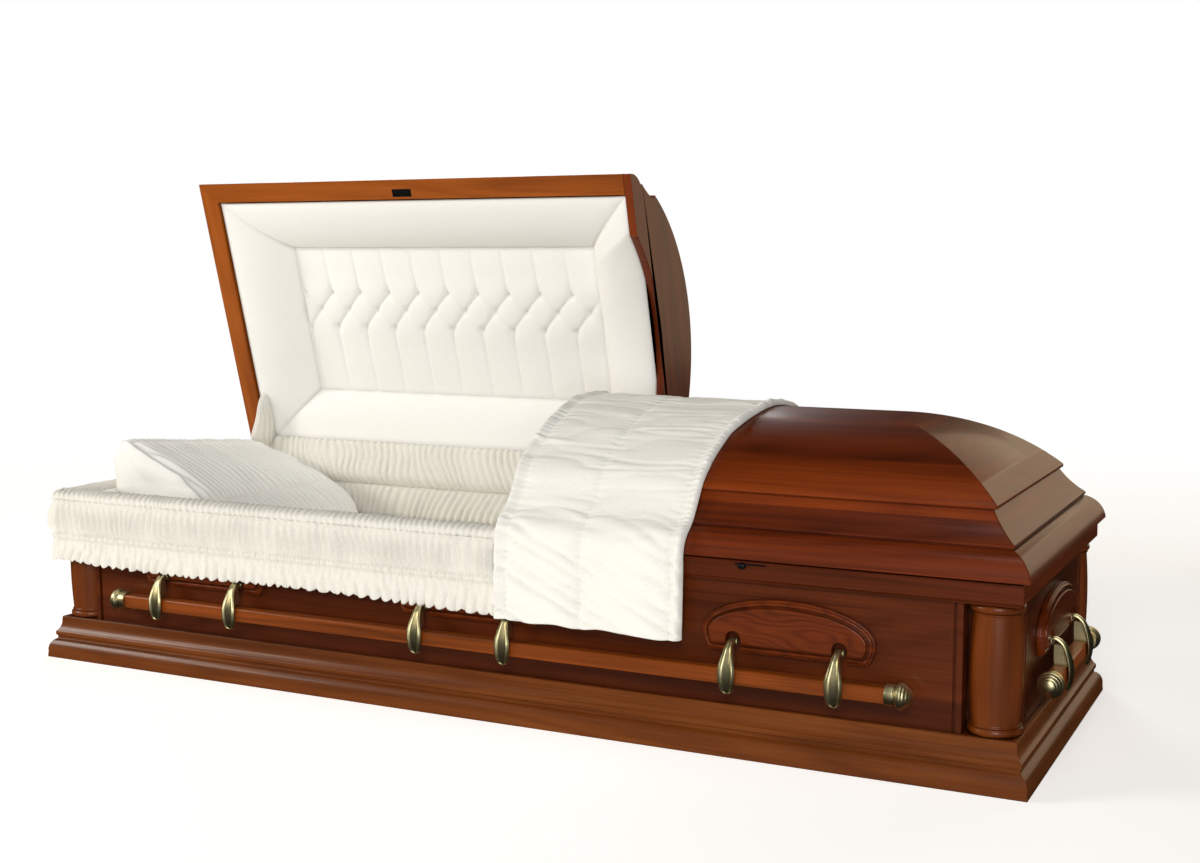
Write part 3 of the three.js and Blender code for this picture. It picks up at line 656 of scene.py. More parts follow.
# (inset, depth) from the back edge to the field, in millimetres
earSteps = [(0, 0.3), (0, 7), (1.2, 9), (3.2, 9.4), (4, 11), (5.2, 12.6), (7, 13.1), (8.8, 12.6),
            (10, 10.6),
            (10.8, 8.6), (13, 8.6), (14, 9.6), (14.6, 14.4), (16.4, 15.8), (20, 16), (34, 16)]


def earRings(form=earForm):
    # Outline at each inset: half an ellipse above the spring line, a steeper one below it that
    # turns in to a flat bottom; each outline lies at its own depth in front of the panel
    steps = through(np.array(earSteps) * mm, 3)
    inset, depth = steps[:, :1], steps[:, 1:]
    half, rise = form["halfWidth"] - inset, form["top"] - form["spring"] - inset
    drop, bottom = form["lowerRadius"] - inset, form["bottom"] + inset
    lowest = np.arcsin((form["spring"] - bottom) / drop)
    side = lowest * np.linspace(-1, 0, form["sideSteps"], endpoint=False)
    over = np.linspace(0, np.pi, form["upperSteps"])[None]
    back = side[:, ::-1]
    x = [half * np.cos(side), half * np.cos(over), -half * np.cos(back)]
    z = [form["spring"] + drop * np.sin(side), form["spring"] + rise * np.sin(over),
         form["spring"] + drop * np.sin(back)]
    flat = np.linspace(-1, 1, form["bottomSteps"] + 2)[None, 1:-1]
    x.append(half * np.cos(lowest) * flat)
    z.append(np.broadcast_to(bottom, x[-1].shape))
    x, z = np.hstack(x), np.hstack(z)
    return np.stack([x, np.broadcast_to(-depth, x.shape), z], -1)


def earMesh(form=earForm):
    rings = earRings(form)
    plan = rings[..., [0, 2]]
    uv = np.concatenate([plan, plan[:, :1]], 1)
    ear = makePiece("ear_blank", loft(rings, uv), earWood, sharpAngle=40)
    radius = form["notchWidth"] / 2
    spring = form["notchTop"] - radius
    turn = np.linspace(0, np.pi, 17)
    slot = np.vstack([[(radius, form["bottom"] - 5 * mm)],
                      np.column_stack([radius * np.cos(turn), spring + radius * np.sin(turn)]),
                      [(-radius, form["bottom"] - 5 * mm)]])
    parts = []
    for hand in (-1, 1):
        outline = slot + (hand * form["armSpacing"] / 2, 0)
        cut = np.stack([np.column_stack([outline[:, 0], np.full(len(outline), y), outline[:, 1]])
                        for y in (-30 * mm, 5 * mm)])
        closedOutline = np.vstack([outline, outline[:1]])
        parts += loft(cut, np.broadcast_to(closedOutline, (2, *closedOutline.shape)))
    cutter = makePiece("slot_cutter", parts, earWood)
    slots = ear.modifiers.new("slots", "BOOLEAN")
    slots.operation, slots.solver, slots.object = "DIFFERENCE", "EXACT", cutter
    cutMesh = bpy.data.meshes.new_from_object(ear.evaluated_get(bpy.context.evaluated_depsgraph_get()))
    for spent in (ear, cutter):
        bpy.data.objects.remove(spent)
    cutMesh.shade_smooth()
    cutMesh.set_sharp_from_angle(angle=math.radians(38))
    return cutMesh


# Which ears and arms each side has, where its face lies and how long its handle is
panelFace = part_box("ear_front_1")[1].y - 0.3 * mm  # y of the front board's face
sideForms = {
    "front": {"ears": (-1, 0, 1), "face": -panelFace, "half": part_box("handle_tip_front_2")[1].x},
    "back": {"ears": (-1, 0, 1), "face": -panelFace, "half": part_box("handle_tip_back_1")[1].x},
    "head": {"ears": (0,), "face": -panelFace + halfLength - halfWidth,
             "half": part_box("handle_tip_head_1")[1].y},
    "foot": {"ears": (0,), "face": -panelFace + halfLength - halfWidth,
             "half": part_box("handle_tip_foot_2")[1].y},
}


def onFace(side, along=0.0):
    # From the front board's own frame to the place on this side
    turn = Matrix.Rotation(math.radians(sideTurns[side]), 4, "Z")
    return turn @ Matrix.Translation((along, -sideForms[side]["face"], 0))


def ears(form=earForm):
    blank = earMesh(form)
    for side, facts in sideForms.items():
        for index, place in enumerate(facts["ears"]):
            mesh = blank.copy()
            mesh.transform(onFace(side, place * form["spacing"]))
            name = f"moulded_ear_{side}_{index + 1}"
            mesh.name = name
            piece = bpy.data.objects.new(name, mesh)
            bpy.context.scene.collection.objects.link(piece)
            carried(piece, "box", "panel_wood", f"ear_{side}_{index + 1}")


# Handles: a softened square bar held by cast arms, with a turned tip at each end

handleForm = {
    "pivotOut": 10 * mm, "pivotHeight": 202 * mm,
    "barOut": 31 * mm, "barHeight": 147 * mm, "barDepth": 26 * mm, "barTall": 28 * mm, "barRound": 6 * mm,
    "tipLength": 48 * mm, "leafThickness": 7 * mm, "webWidth": 12 * mm,
}
# (out from the panel, height, width) down the middle of the leaf, in millimetres
armLine = [(12, 204, 11), (22, 206.5, 12), (35.5, 197, 15), (44, 179, 24), (49, 159, 32), (48.5, 137, 30),
           (43, 117, 22)]
# (along, radius) of the turned tip from the bar outwards, in millimetres
tipSteps = [(0, 0), (0, 18.5), (14, 18.8), (15, 17.4), (17, 17.4), (19, 19.6), (21.6, 22.6), (24.4, 23),
            (27.4, 23), (29.2, 22), (29.8, 20.6), (32.4, 19.8), (34.6, 18.2), (35.2, 16.9), (37.6, 15.8),
            (39.4, 13.8),
            (40, 12.4), (42.2, 10.8), (43.8, 7.8), (44.8, 4.2), (45.2, 0)]


def leafParts(form=handleForm):
    # Section (share of width, share of thickness) carried along the arm's line: round behind,
    # dished in front between two raised rims; width and thickness close to nothing at the tip
    line = through(np.array(armLine) * mm, 7)
    out = leftNormals(line[:, :2])
    share = np.linspace(0, 1, len(line))
    closing = np.sqrt(np.clip(1 - np.clip((share - 0.94) / 0.06, 0, 1) ** 2, 0, 1))
    turn = np.linspace(0, 2 * np.pi, 40, endpoint=False)
    across = 0.5 * np.cos(turn)
    rim = np.exp(-(((np.abs(2 * across) - 0.74) / 0.17) ** 2))
    front = (0.10 + 0.42 * rim) * np.sqrt(np.clip(1 - (2 * across) ** 6, 0, 1))
    deep = np.where(np.sin(turn) >= 0, front, -0.5 * np.sqrt(np.clip(1 - (2 * across) ** 4, 0, 1)))
    width = line[:, 2:] * closing[:, None]
    off = deep[None] * form["leafThickness"] * (0.35 + 0.65 * closing[:, None])
    points = np.stack([across[None] * width, -(line[:, :1] + out[:, :1] * off),
                       line[:, 1:2] + out[:, 1:] * off], -1)
    uv = np.zeros((len(line), len(turn) + 1, 2))
    return loft(points, uv)


def prism(outline, low, high, edge=0.8 * mm):
    # An outline in (y, z) along X from low to high, its two faces drawn in by edge
    outline = softened(outline, 1.5 * mm)
    rings = []
    for x, shrink in ((low, edge), (low + edge, 0), (high - edge, 0), (high, edge)):
        shape = grown(outline, -shrink)
        rings.append(np.column_stack([np.full(len(shape), x), shape]))
    return loft(np.stack(rings), np.zeros((4, len(outline) + 1, 2)))


def turnedParts(steps, sides=36):
    # (along, radius) steps turned about X: y = r cos a, z = r sin a
    angle = np.linspace(0, 2 * np.pi, sides, endpoint=False)
    along, radius = steps[:, :1], steps[:, 1:]
    rings = np.stack(np.broadcast_arrays(along, radius * np.cos(angle), radius * np.sin(angle)), -1)
    return loft(rings, np.zeros((len(steps), sides + 1, 2)), capped=False)


def armParts(form=handleForm):
    out, height = form["barOut"], form["pivotHeight"]
    top = form["barHeight"] + form["barTall"] / 2 + 0.3 * mm
    web = np.array([(-(out + 16 * mm), top + 5 * mm), (-(out + 14 * mm), top), (-(out - 9 * mm), top),
                    (-(out - 10 * mm), top + 14 * mm), (-(form["pivotOut"] + 11 * mm), height - 5 * mm),
                    (-(out + 3 * mm), height - 6 * mm)])[::-1]
    knuckle = turnedParts(softened(np.array([(-8, 0), (-8, 7), (8, 7), (8, 0)]) * mm, 1.2 * mm,
                                   closed=False), 28)
    pivot = Matrix.Translation((0, -form["pivotOut"], height))
    half = form["webWidth"] / 2
    return leafParts(form) + moved(knuckle, pivot) + prism(web, -half, half)


def handles(form=handleForm):
    arm = armParts(form)
    tip = turnedParts(softened(np.array(tipSteps) * mm, 0.5 * mm, closed=False), 56)
    halfDepth, halfTall = form["barDepth"] / 2, form["barTall"] / 2
    corners = [(-halfDepth, -halfTall), (halfDepth, -halfTall), (halfDepth, halfTall),
               (-halfDepth, halfTall)]
    section = softened(np.array(corners), form["barRound"], steps=7) + (-form["barOut"], form["barHeight"])
    across = runLength(section, closed=True)
    for index, (side, facts) in enumerate(sideForms.items()):
        body = f"handle_{side}"
        place = onFace(side)
        ends = np.linspace(-1, 1, 2)[:, None] * (facts["half"] - form["tipLength"] - 0.3 * mm)
        rings = np.stack(np.broadcast_arrays(ends, section[:, 0], section[:, 1]), -1)
        uv = np.stack(np.broadcast_arrays(ends + 10.0 * (index + 12), across[None]), -1)
        bar = makePiece(f"wooden_bar_{side}", moved(loft(rings, uv), place), barWood)
        carried(bar, body, "bar_wood", f"handle_bar_{side}")
        arms, nodes = [], []
        for number, ear in enumerate(facts["ears"]):
            for hand in (-1, 1):
                along = ear * earForm["spacing"] + hand * earForm["armSpacing"] / 2
                arms += moved(arm, Matrix.Translation((along, 0, 0)))
                nodes.append(f"handle_arm_{side}_{2 * number + (hand + 3) // 2}")
        carried(makePiece(f"brass_arms_{side}", moved(arms, place), brass, 50), body, "antique_brass",
                *nodes)
        tips = []
        for hand in (-1, 1):
            spin = Matrix.Rotation(0 if hand > 0 else math.pi, 4, "Z")
            at = Matrix.Translation((hand * (facts["half"] - form["tipLength"]), -form["barOut"],
                                     form["barHeight"]))
            tips += moved(tip, at @ spin)
        nodes = [f"handle_tip_{side}_{n}" for n in (1, 2)]
        carried(makePiece(f"brass_tips_{side}", moved(tips, place), brass, 50), body, "antique_brass",
                *nodes)


ears()
handles()
print("ears and handles made")


# Lids

lidForm = {
    "ovoloInset": 38 * mm, "ovoloHeight": 46 * mm, "ovoloBulge": 7.5 * mm, "filletHeight": 8 * mm,
    "filletStep": 2 * mm, "coveInset": 83.5 * mm, "coveTop": 103 * mm, "coveHollow": 3 * mm,
    "crownInset": 77 * mm, "crownEdge": 111 * mm, "lip": 5.5 * mm, "wall": 14 * mm,
    "railInset": 50 * mm, "railHeight": 40 * mm, "archHalf": 227 * mm, "archRise": 68 * mm,
    "edge": 1.4 * mm,
    "hipRound": 1.6 * mm,
}
crownRise = ridgeHeight - lidBottom - lidForm["crownEdge"]
crownHalf = halfWidth - lidForm["crownInset"]
crownRadius = (crownHalf**2 + crownRise**2) / (2 * crownRise)
crownCentre = ridgeHeight - crownRadius


def crownArc(radius, inset, steps):
    # The crown's arch as (inset, z), from the given inset up to the ridge
    turn = math.asin((halfWidth - inset) / radius) * np.linspace(1, 0, steps + 1)
    return np.column_stack([halfWidth - radius * np.sin(turn), crownCentre + radius * np.cos(turn)])


def lidOuter(form=lidForm):
    # Half section of a lid as (inset, z), from its outer bottom edge to the ridge
    foot = (lidInset, lidBottom)
    ovoloEnd = (form["ovoloInset"], lidBottom + form["ovoloHeight"])
    coveStart = (form["ovoloInset"] + form["filletStep"],
                 lidBottom + form["ovoloHeight"] + form["filletHeight"])
    coveEnd = (form["coveInset"], lidBottom + form["coveTop"])
    # A groove parts the ovolo from the fillet above it
    groove = [(ovoloEnd[0] + 4 * mm, ovoloEnd[1] + 0.6 * mm),
              (ovoloEnd[0] + 4 * mm, ovoloEnd[1] + 2.6 * mm),
              (ovoloEnd[0] + 1.6 * mm, ovoloEnd[1] + 3.2 * mm), (ovoloEnd[0] + 1.6 * mm, coveStart[1])]
    lip = (form["crownInset"], lidBottom + form["crownEdge"] - form["lip"])
    path = np.vstack([arc(foot, ovoloEnd, form["ovoloBulge"], 16), groove,
                      arc(coveStart, coveEnd, -form["coveHollow"], 14),
                      [lip], crownArc(crownRadius, form["crownInset"], 44)])
    return softened(path, form["edge"], closed=False)


def lidInner(form=lidForm):
    # Half section of the hollow, from the lid's outer bottom edge inwards and up to the ridge
    return np.vstack([[(lidInset, lidBottom), (form["railInset"], lidBottom),
                       (form["railInset"], lidBottom + form["railHeight"]),
                       (form["coveInset"] + 8.5 * mm, lidBottom + form["coveTop"] - 8 * mm)],
                      crownArc(crownRadius - form["wall"], form["crownInset"] + 23 * mm, 24)])


def hipSlopes(path, start, sign, board, hipRound):
    # Surfaces through a half section that runs round three sides: front, hip end and back.
    # A point with an inset lies that far inside the casket's edge on each side; the sides
    # stop hipRound before the mitre, and a narrow strip joins them.
    inset, height = path[:, :1], path[:, 1:]
    across = runLength(path)[:, None]
    y = halfWidth - inset
    far = sign * (halfLength - inset)
    near = np.full_like(far, start)
    ease = np.minimum(hipRound, y)
    farSide = far - sign * ease
    endY = y - ease
    row = lambda *columns: np.stack([np.hstack(c) for c in zip(*columns)], -1)
    front = row((near, -y, height), (farSide, -y, height))
    back = row((near, y, height), (farSide, y, height))
    end = row((far, -endY, height), (far, endY, height))
    strips = [row((farSide, s * y, height), (far, s * endY, height)) for s in (-1, 1)]
    parts = []
    faces = ((front, 0), (end, 1), (back, 0), (strips[0], 0), (strips[1], 0))
    for index, (points, axis) in enumerate(faces):
        along = points[..., axis]
        uv = np.stack([along + 10.0 * (board + index % 3), np.broadcast_to(across, along.shape)], -1)
        parts.append(patch(points, uv))
    return parts


def lidShell(start, sign, board, form=lidForm):
    # Outer slopes, inner slopes, and the flat face at the split
    outer, inner = lidOuter(form), lidInner(form)
    parts = hipSlopes(outer, start, sign, board, form["hipRound"])
    parts += painted(hipSlopes(inner, start, sign, board + 3, form["hipRound"]), 1)
    section = np.vstack([outer, outer[::-1][1:] * (-1, 1) + (2 * halfWidth, 0),
                         (inner[1:] * (-1, 1) + (2 * halfWidth, 0)), inner[::-1][1:-1]])
    ring = np.column_stack([np.full(len(section), start), section[:, 0] - halfWidth, section[:, 1]])
    parts.append(cap(ring, section))
    return parts


def opened(points):
    # Turns points of the closed head lid about the hinge to where the lid stands open
    y, z = points[..., 1] - hingeY, points[..., 2] - hingeZ
    turned = points.copy()
    turned[..., 1] = hingeY + y * math.cos(openAngle) + z * math.sin(openAngle)
    turned[..., 2] = hingeZ - y * math.sin(openAngle) + z * math.cos(openAngle)
    return turned


def openedParts(parts):
    return [{**part, "points": opened(part["points"])} for part in parts]


def endBoard(low, high, board, form=lidForm):
    # Board across the lid at the split: the lid's outline above, an arch below, edges eased
    outer = lidOuter(form)
    half = np.column_stack([halfWidth - outer[:, 0], outer[:, 1]])
    arch = arc((-form["archHalf"], lidBottom), (form["archHalf"], lidBottom), form["archRise"], 48)
    outline = np.vstack([half, (half[::-1] * (-1, 1))[1:], arch])
    rings = []
    for x, shrink in ((low, 1.2), (low + 0.6 * mm, 0.35), (low + 1.4 * mm, 0), (high - 1.4 * mm, 0),
                      (high - 0.6 * mm, 0.35), (high, 1.2)):
        shape = grown(outline, -shrink * mm)
        rings.append(np.column_stack([np.full(len(shape), x), shape]))
    plan = outline + (10.0 * board, 0)
    uv = np.broadcast_to(np.vstack([plan, plan[:1]]), (len(rings), len(plan) + 1, 2))
    return loft(np.stack(rings), uv)


def lids(form=lidForm):
    foot = makePiece("hipped_lid_foot", lidShell(footLidStart, 1, 20, form), [lidWood, rimWood], 25)
    carried(foot, "foot_lid", "lid_wood", "foot_lid")
    head = makePiece("hipped_lid_head", openedParts(lidShell(headLidEnd, -1, 26, form)), [lidWood, rimWood],
                     25)
    carried(head, "head_lid", "lid_wood", "head_lid")
    low, high = (corner.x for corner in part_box("foot_lid_end_board"))
    board = makePiece("split_board_foot", endBoard(low, high, 34, form), lidWood, 30)
    carried(board, "foot_lid", "lid_wood", "foot_lid_end_board")
    low, high = (corner.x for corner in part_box("head_lid_end_board"))
    board = makePiece("split_board_head", openedParts(endBoard(low, high, 35, form)), lidWood, 30)
    carried(board, "head_lid", "lid_wood", "head_lid_end_board")


lids()
print("lids made")


# Soft goods

def distanceTo(x, y, start, end):
    # Distance from each point to the stretch between start and end
    ax, ay = start
    bx, by = end[0] - ax, end[1] - ay
    t = np.clip(((x - ax) * bx + (y - ay) * by) / (bx * bx + by * by), 0, 1)
    return np.hypot(x - ax - t * bx, y - ay - t * by)


def pleats(along, across, pitch, seed, wander=1.6):
    # Round ridges with sharp valleys, |sin| of a phase that wanders; some ridges merge or fade
    phase = along / pitch + wander * noise(along / (pitch * 4.5), across / 0.06, seed)
    broad = np.abs(np.sin(np.pi * phase)) ** 0.75
    jitter = 0.8 * noise(along / (pitch * 2), across / 0.03, seed + 3)
    fine = np.abs(np.sin(np.pi * (phase * 2.17 + jitter)))
    share = noise(along / (pitch * 1.7), across / 0.05, seed + 5)
    return broad * (0.55 + 0.45 * share) + 0.2 * fine * (1 - share)


def ridges(along, across, pitch, seed):
    # Thin pinched ridges on slack cloth, one minus a rounded |sin| of the same kind of phase
    phase = along / pitch + 1.8 * noise(along / (pitch * 4.5), across / 0.07, seed)
    thin = 1 - np.sqrt(np.sin(np.pi * phase) ** 2 + 0.012)
    share = noise(along / (pitch * 1.7), across / 0.06, seed + 5)
    return np.clip(thin, 0, 1) * (0.45 + 0.55 * share) + 0.25 * share


def alongPlan(path, step):
    # A plan path resampled at an even step: points, unit normals to the left of the way, lengths
    whole = runLength(path)[-1]
    lengths = np.linspace(0, whole, int(whole / step) + 1)
    at = resampled(path, lengths)
    return at, leftNormals(at), lengths


def swept(at, normal, out, height):
    # Points of a plan path moved sideways by out (rows, columns), each at its height
    x = at[None, :, 0] + normal[None, :, 0] * out
    y = at[None, :, 1] + normal[None, :, 1] * out
    return np.stack([x, y, np.broadcast_to(height, out.shape)], -1)


def thickened(piece, thickness, offset=0):
    wall = piece.modifiers.new("cloth", "SOLIDIFY")
    wall.thickness, wall.offset = thickness, offset
    return piece


def sheetPiece(name, points, thickness):
    # A grid as a sheet of cloth with a real thickness
    rows, columns = points.shape[:2]
    uv = np.stack(np.meshgrid(np.arange(rows) * 1.0, np.arange(columns) * 1.0, indexing="ij"), -1)
    return thickened(makePiece(name, [patch(points, uv)], crepe, sharpAngle=180, solid=False), thickness)


def flatBacked(front, back):
    # A grid closed by a strip round its edge and one flat face over the back grid's edge
    around = lambda grid: np.concatenate([grid[0], grid[1:, -1], grid[-1, -2::-1], grid[-2:0:-1, 0]])
    rim, backRim = around(front), around(back)
    strip = patch(np.stack([rim, backRim]), np.zeros((2, len(rim) + 1, 2)), wrap=True)
    return [patch(front, np.zeros((*front.shape[:2], 2))), strip, cap(backRim, backRim[:, :2])]


def stitchDip(height, rows, width=3.2 * mm):
    # 1 on a stitch row, 0 a few widths away
    return np.clip(sum(np.exp(-(((height - row) / width) ** 2)) for row in rows), 0, 1)


skirtForm = {
    "inset": 16 * mm, "cornerRound": 9 * mm, "start": 97 * mm, "backEnd": 300 * mm, "step": 2.0 * mm,
    "hem": 213 * mm, "lowerStitch": 268 * mm, "stitchGap": 13 * mm, "upperStitch": 340 * mm,
    "pitch": 17 * mm, "pleat": 13 * mm, "puff": 2.6 * mm, "clear": 2.2 * mm, "stitchDepth": 1.9 * mm,
    "ribPitch": 8.5 * mm, "rib": 3.4 * mm, "hemPitch": 25 * mm, "hemPleat": 9 * mm, "hemWander": 2.2,
    "scallop": 8 * mm, "sway": 4 * mm, "thickness": 0.9 * mm, "fullness": 1.2, "flatDepth": 0.15,
    "hemKeep": 0.7, "squashAt": 0.285,  # the height that stays where it is when a handle rises
    "rollTop": 367 * mm, "rollInner": 300 * mm, "rollFoot": 322 * mm, "rollPleat": 6.5 * mm,
    "rollKeep": 0.1, "rollOver": 4 * mm, "rollBelly": 2.2 * mm, "rollSides": 34,
}
# Heights of the drop's rows, in millimetres, closest at the stitching: (from, to, how many)
skirtRows = [(347, 281, 13), (278, 257, 12), (253, 213, 12)]


def skirtPlan(form):
    # From the split along the front rim, round the head corner and back along the head rim
    y, x = halfWidth - form["inset"], halfLength - form["inset"]
    turn = np.radians(np.linspace(0, 90, 12))
    r = form["cornerRound"]
    corner = np.column_stack([-(x - r) - r * np.sin(turn), -(y - r) - r * np.cos(turn)])
    path = np.vstack([[(form["start"], -y)], corner, [(-x, form["backEnd"])]])
    return alongPlan(path, form["step"])


def rimSkirtDrop(form=skirtForm):
    # Drop outside the rim, made as a front and a head piece that meet at the corner:
    # out(s, z) is a puff between the stitch rows, plus pleats that the stitching gathers into
    # fine ribs, plus a puckered hem that swings in and out
    at, normal, s = skirtPlan(form)
    rows = np.concatenate([np.linspace(*span) for span in skirtRows]) * mm
    z, along = np.meshgrid(rows, s, indexing="ij")
    low, high = form["lowerStitch"] - form["stitchGap"] / 2, form["lowerStitch"] + form["stitchGap"] / 2
    held = stitchDip(z, (low, high, form["upperStitch"]))
    band = eased(z, low - 4 * mm, low) * (1 - eased(z, high, high + 5 * mm))
    flare = 1 - eased(z, form["hem"] + 2 * mm, low)
    puff = np.sin(np.pi * np.clip((z - high) / (form["upperStitch"] - high), 0, 1))
    upper = ridges(along, z, form["pitch"], 1)
    hemPitch, wander = form["hemPitch"], form["hemWander"]
    hem = pleats(along, z, hemPitch, 2, wander)
    ribs = np.abs(np.sin(np.pi * along / form["ribPitch"] + 3 * noise(along / 0.02, 0, 8)))
    out = form["clear"] + form["puff"] * puff
    out = out + form["pleat"] * upper * (1 - flare) * (1 - 0.75 * held) * (0.4 + 0.6 * puff)
    out += form["rib"] * band * ribs + flare * (form["hemPleat"] * hem - 0.4 * mm)
    out -= form["stitchDepth"] * held * (1 - flare)
    scallop = np.abs(np.sin(np.pi * (along / hemPitch + wander * noise(along / (hemPitch * 4.5), 0, 2))))
    height = z - form["scallop"] * flare**2 * (scallop**0.7 - 0.5)
    height -= form["sway"] * flare * (noise(along / 0.2, 0, 11) - 0.5)
    # The hem hangs lowest beside the overlay and comes up over the next half metre
    height -= 8 * mm * flare * (1 - eased(along, 0, 0.5))
    height += 7 * mm * flare * eased(along, 0.95, 1.12)
    points = swept(at, normal, out, height)
    corner = int(np.argmax(at[:, 0] < -(halfLength - form["inset"]) + 1 * mm))
    for side, first, last in (("front", 0, corner), ("head", corner, len(s) - 1)):
        piece = sheetPiece(f"rim_skirt_{side}", points[:, first:last + 1], form["thickness"])
        carried(piece, "box", "ivory_cloth", "rim_skirt")
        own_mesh(piece)


def rimSkirtRoll(form=skirtForm):
    # Padded roll over the rim: a closed oval section carried along the rim, its skin pleated
    # across the roll; t runs from outside over the top to the inside and back underneath
    at, normal, s = skirtPlan(form)
    width = halfWidth - form["inset"] - form["rollInner"]
    t = np.linspace(0, 2 * np.pi, form["rollSides"], endpoint=False)
    foot = form["upperStitch"] - 3 * mm
    over = np.clip(np.sin(t), 0, 1)
    belly = np.where(np.cos(t) > 0, form["rollBelly"] * np.sin(np.pi * over), 0)
    out = 2.0 * mm + (-width / 2) * (1 - np.cos(t)) + belly
    rise, middle = form["rollTop"] - railTop, railTop - form["rollOver"]
    height = np.where(np.sin(t) >= 0, middle + (rise + form["rollOver"]) * over**0.62,
                      middle + (foot - railTop) * np.clip(-np.sin(t), 0, 1) ** 0.5)
    inner = np.cos(t) < -0.55
    height = np.where(inner & (np.sin(t) < 0), np.minimum(height, form["rollFoot"] + 8 * mm), height)
    under = np.sin(t) < -0.05
    height = np.where(under & ~inner & (np.cos(t) < 0.8), railTop + 0.6 * mm, height)
    along, turn = np.meshgrid(s, t)
    skin = np.clip(np.sin(turn) + 0.35, 0, 1)
    fold = pleats(along + 6 * mm * np.cos(turn), turn * 0.02, form["pitch"] * 0.8, 6) - 0.5
    grow = form["rollPleat"] * skin * fold
    out = out[:, None] + grow * np.cos(turn)
    height = height[:, None] + grow * np.clip(np.sin(turn), 0, 1) * 0.9
    height = height + 1.5 * mm * skin * (noise(along / 0.09, 0, 4) - 0.5)
    points = swept(at, normal, out, height).transpose(1, 0, 2)
    uv = np.zeros((points.shape[0], points.shape[1] + 1, 2))
    piece = makePiece("rim_roll", loft(points, uv), crepe, sharpAngle=180)
    carried(piece, "box", "ivory_cloth", "rim_skirt")
    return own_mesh(piece)


wallForm = {
    "inset": 55 * mm, "cornerCut": 118 * mm, "cornerRound": 30 * mm, "step": 2.6 * mm, "bottom": 236 * mm,
    "stitch": 316 * mm, "pitch": 19 * mm, "pleat": 9 * mm, "depth": 3 * mm, "thickness": 0.9 * mm,
    "fullness": 1.3, "flatDepth": 0.112,  # flat length over the run, and the flat sheet's depth in metres
}


def wallLining(form=wallForm):
    # Shirred cloth on the inside walls: in(s, z) puffs out below and above the stitch row
    x, y, cut = halfLength - form["inset"], halfWidth - form["inset"], form["cornerCut"]
    corners = np.array([(x, 0), (x, y - cut), (x - cut, y), (cut - x, y), (-x, y - cut), (-x, cut - y),
                        (cut - x, -y), (x - cut, -y), (x, cut - y)])
    path = softened(corners, form["cornerRound"], steps=7)
    at, normal, s = alongPlan(np.vstack([path, path[:1]]), form["step"])
    normal[[0, -1]] = (-1, 0)
    rows = np.concatenate([np.linspace(form["bottom"], 308 * mm, 11), np.linspace(311 * mm, 321 * mm, 5),
                           np.linspace(325 * mm, railTop, 6)])
    z, along = np.meshgrid(rows, s, indexing="ij")
    held = stitchDip(z, (form["stitch"],), 4 * mm)
    low = form["bottom"] - 20 * mm
    puff = np.sin(np.pi * np.clip((z - low) / (form["stitch"] - low), 0, 1))
    above = np.sin(np.pi * np.clip((z - form["stitch"]) / (railTop + 12 * mm - form["stitch"]), 0, 1))
    lean = along + 0.35 * (z - form["stitch"])
    inward = form["depth"] + 4 * mm * puff + 2.5 * mm * above
    inward = inward + form["pleat"] * pleats(lean, z, form["pitch"], 21) * (1 - 0.72 * held)
    piece = sheetPiece("wall_lining", swept(at, normal, inward, z), form["thickness"])
    return carried(piece, "box", "ivory_cloth", "box_lining")


def cornerGussets(form=wallForm):
    # Shirred three-cornered pads over the rim's cut corners at the head: a + b sweep the corner,
    # the pleats run out to its point, and the pad crowns by sin(pi a)
    x0, y0 = halfLength - form["inset"] + 4 * mm, halfWidth - form["inset"] + 4 * mm
    cut = form["cornerCut"] + 10 * mm
    a, b = np.meshgrid(np.linspace(0, 1, 60), np.linspace(0, 1, 26))
    shirr = pleats(a * cut * 1.4, b * 0.02, form["pitch"], 25)
    parts = []
    for hand in (-1, 1):
        # From the cut's edge (b = 0) to the corner's two sides (b = 1)
        edge = np.stack([-(x0 - cut * (1 - a)), hand * (y0 - cut * a)], -1)
        side = np.stack([-(x0 - cut * np.clip(1 - 2 * a, 0, 1)),
                         hand * (y0 - cut * np.clip(2 * a - 1, 0, 1))], -1)
        plan = edge + (side - edge) * b[..., None]
        crown = 7 * mm * np.sin(np.pi * np.clip(b, 0, 1) ** 0.7) + 3.5 * mm * shirr * (1 - b)
        rise = crown * np.sin(np.pi * a) ** 0.4
        points = np.concatenate([plan, (railTop + 1.2 * mm + rise)[..., None]], -1)
        parts.append(patch(points if hand > 0 else points[::-1], np.zeros((*points.shape[:2], 2))))
    piece = makePiece("corner_gussets", parts, drapedLitCrepe, sharpAngle=180, solid=False)
    thickened(piece, form["thickness"])
    carried(piece, "box", "ivory_cloth", "box_lining")
    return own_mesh(piece)


hingeForm = {
    "headEnd": -985 * mm, "footEnd": 97 * mm, "step": 2.2 * mm, "pitch": 19 * mm, "pleat": 9.5 * mm,
    "thickness": 0.9 * mm, "fullness": 1.3, "flatDepth": 0.115,
}
# (y, z) of the cloth from the back wall's stitch row up over the hinge to the open lid, in millimetres
hingeLine = [(310, 316), (304, 326), (300, 337), (303, 351), (312, 368), (323, 386), (332, 399), (338, 408),
             (343.5, 409)]


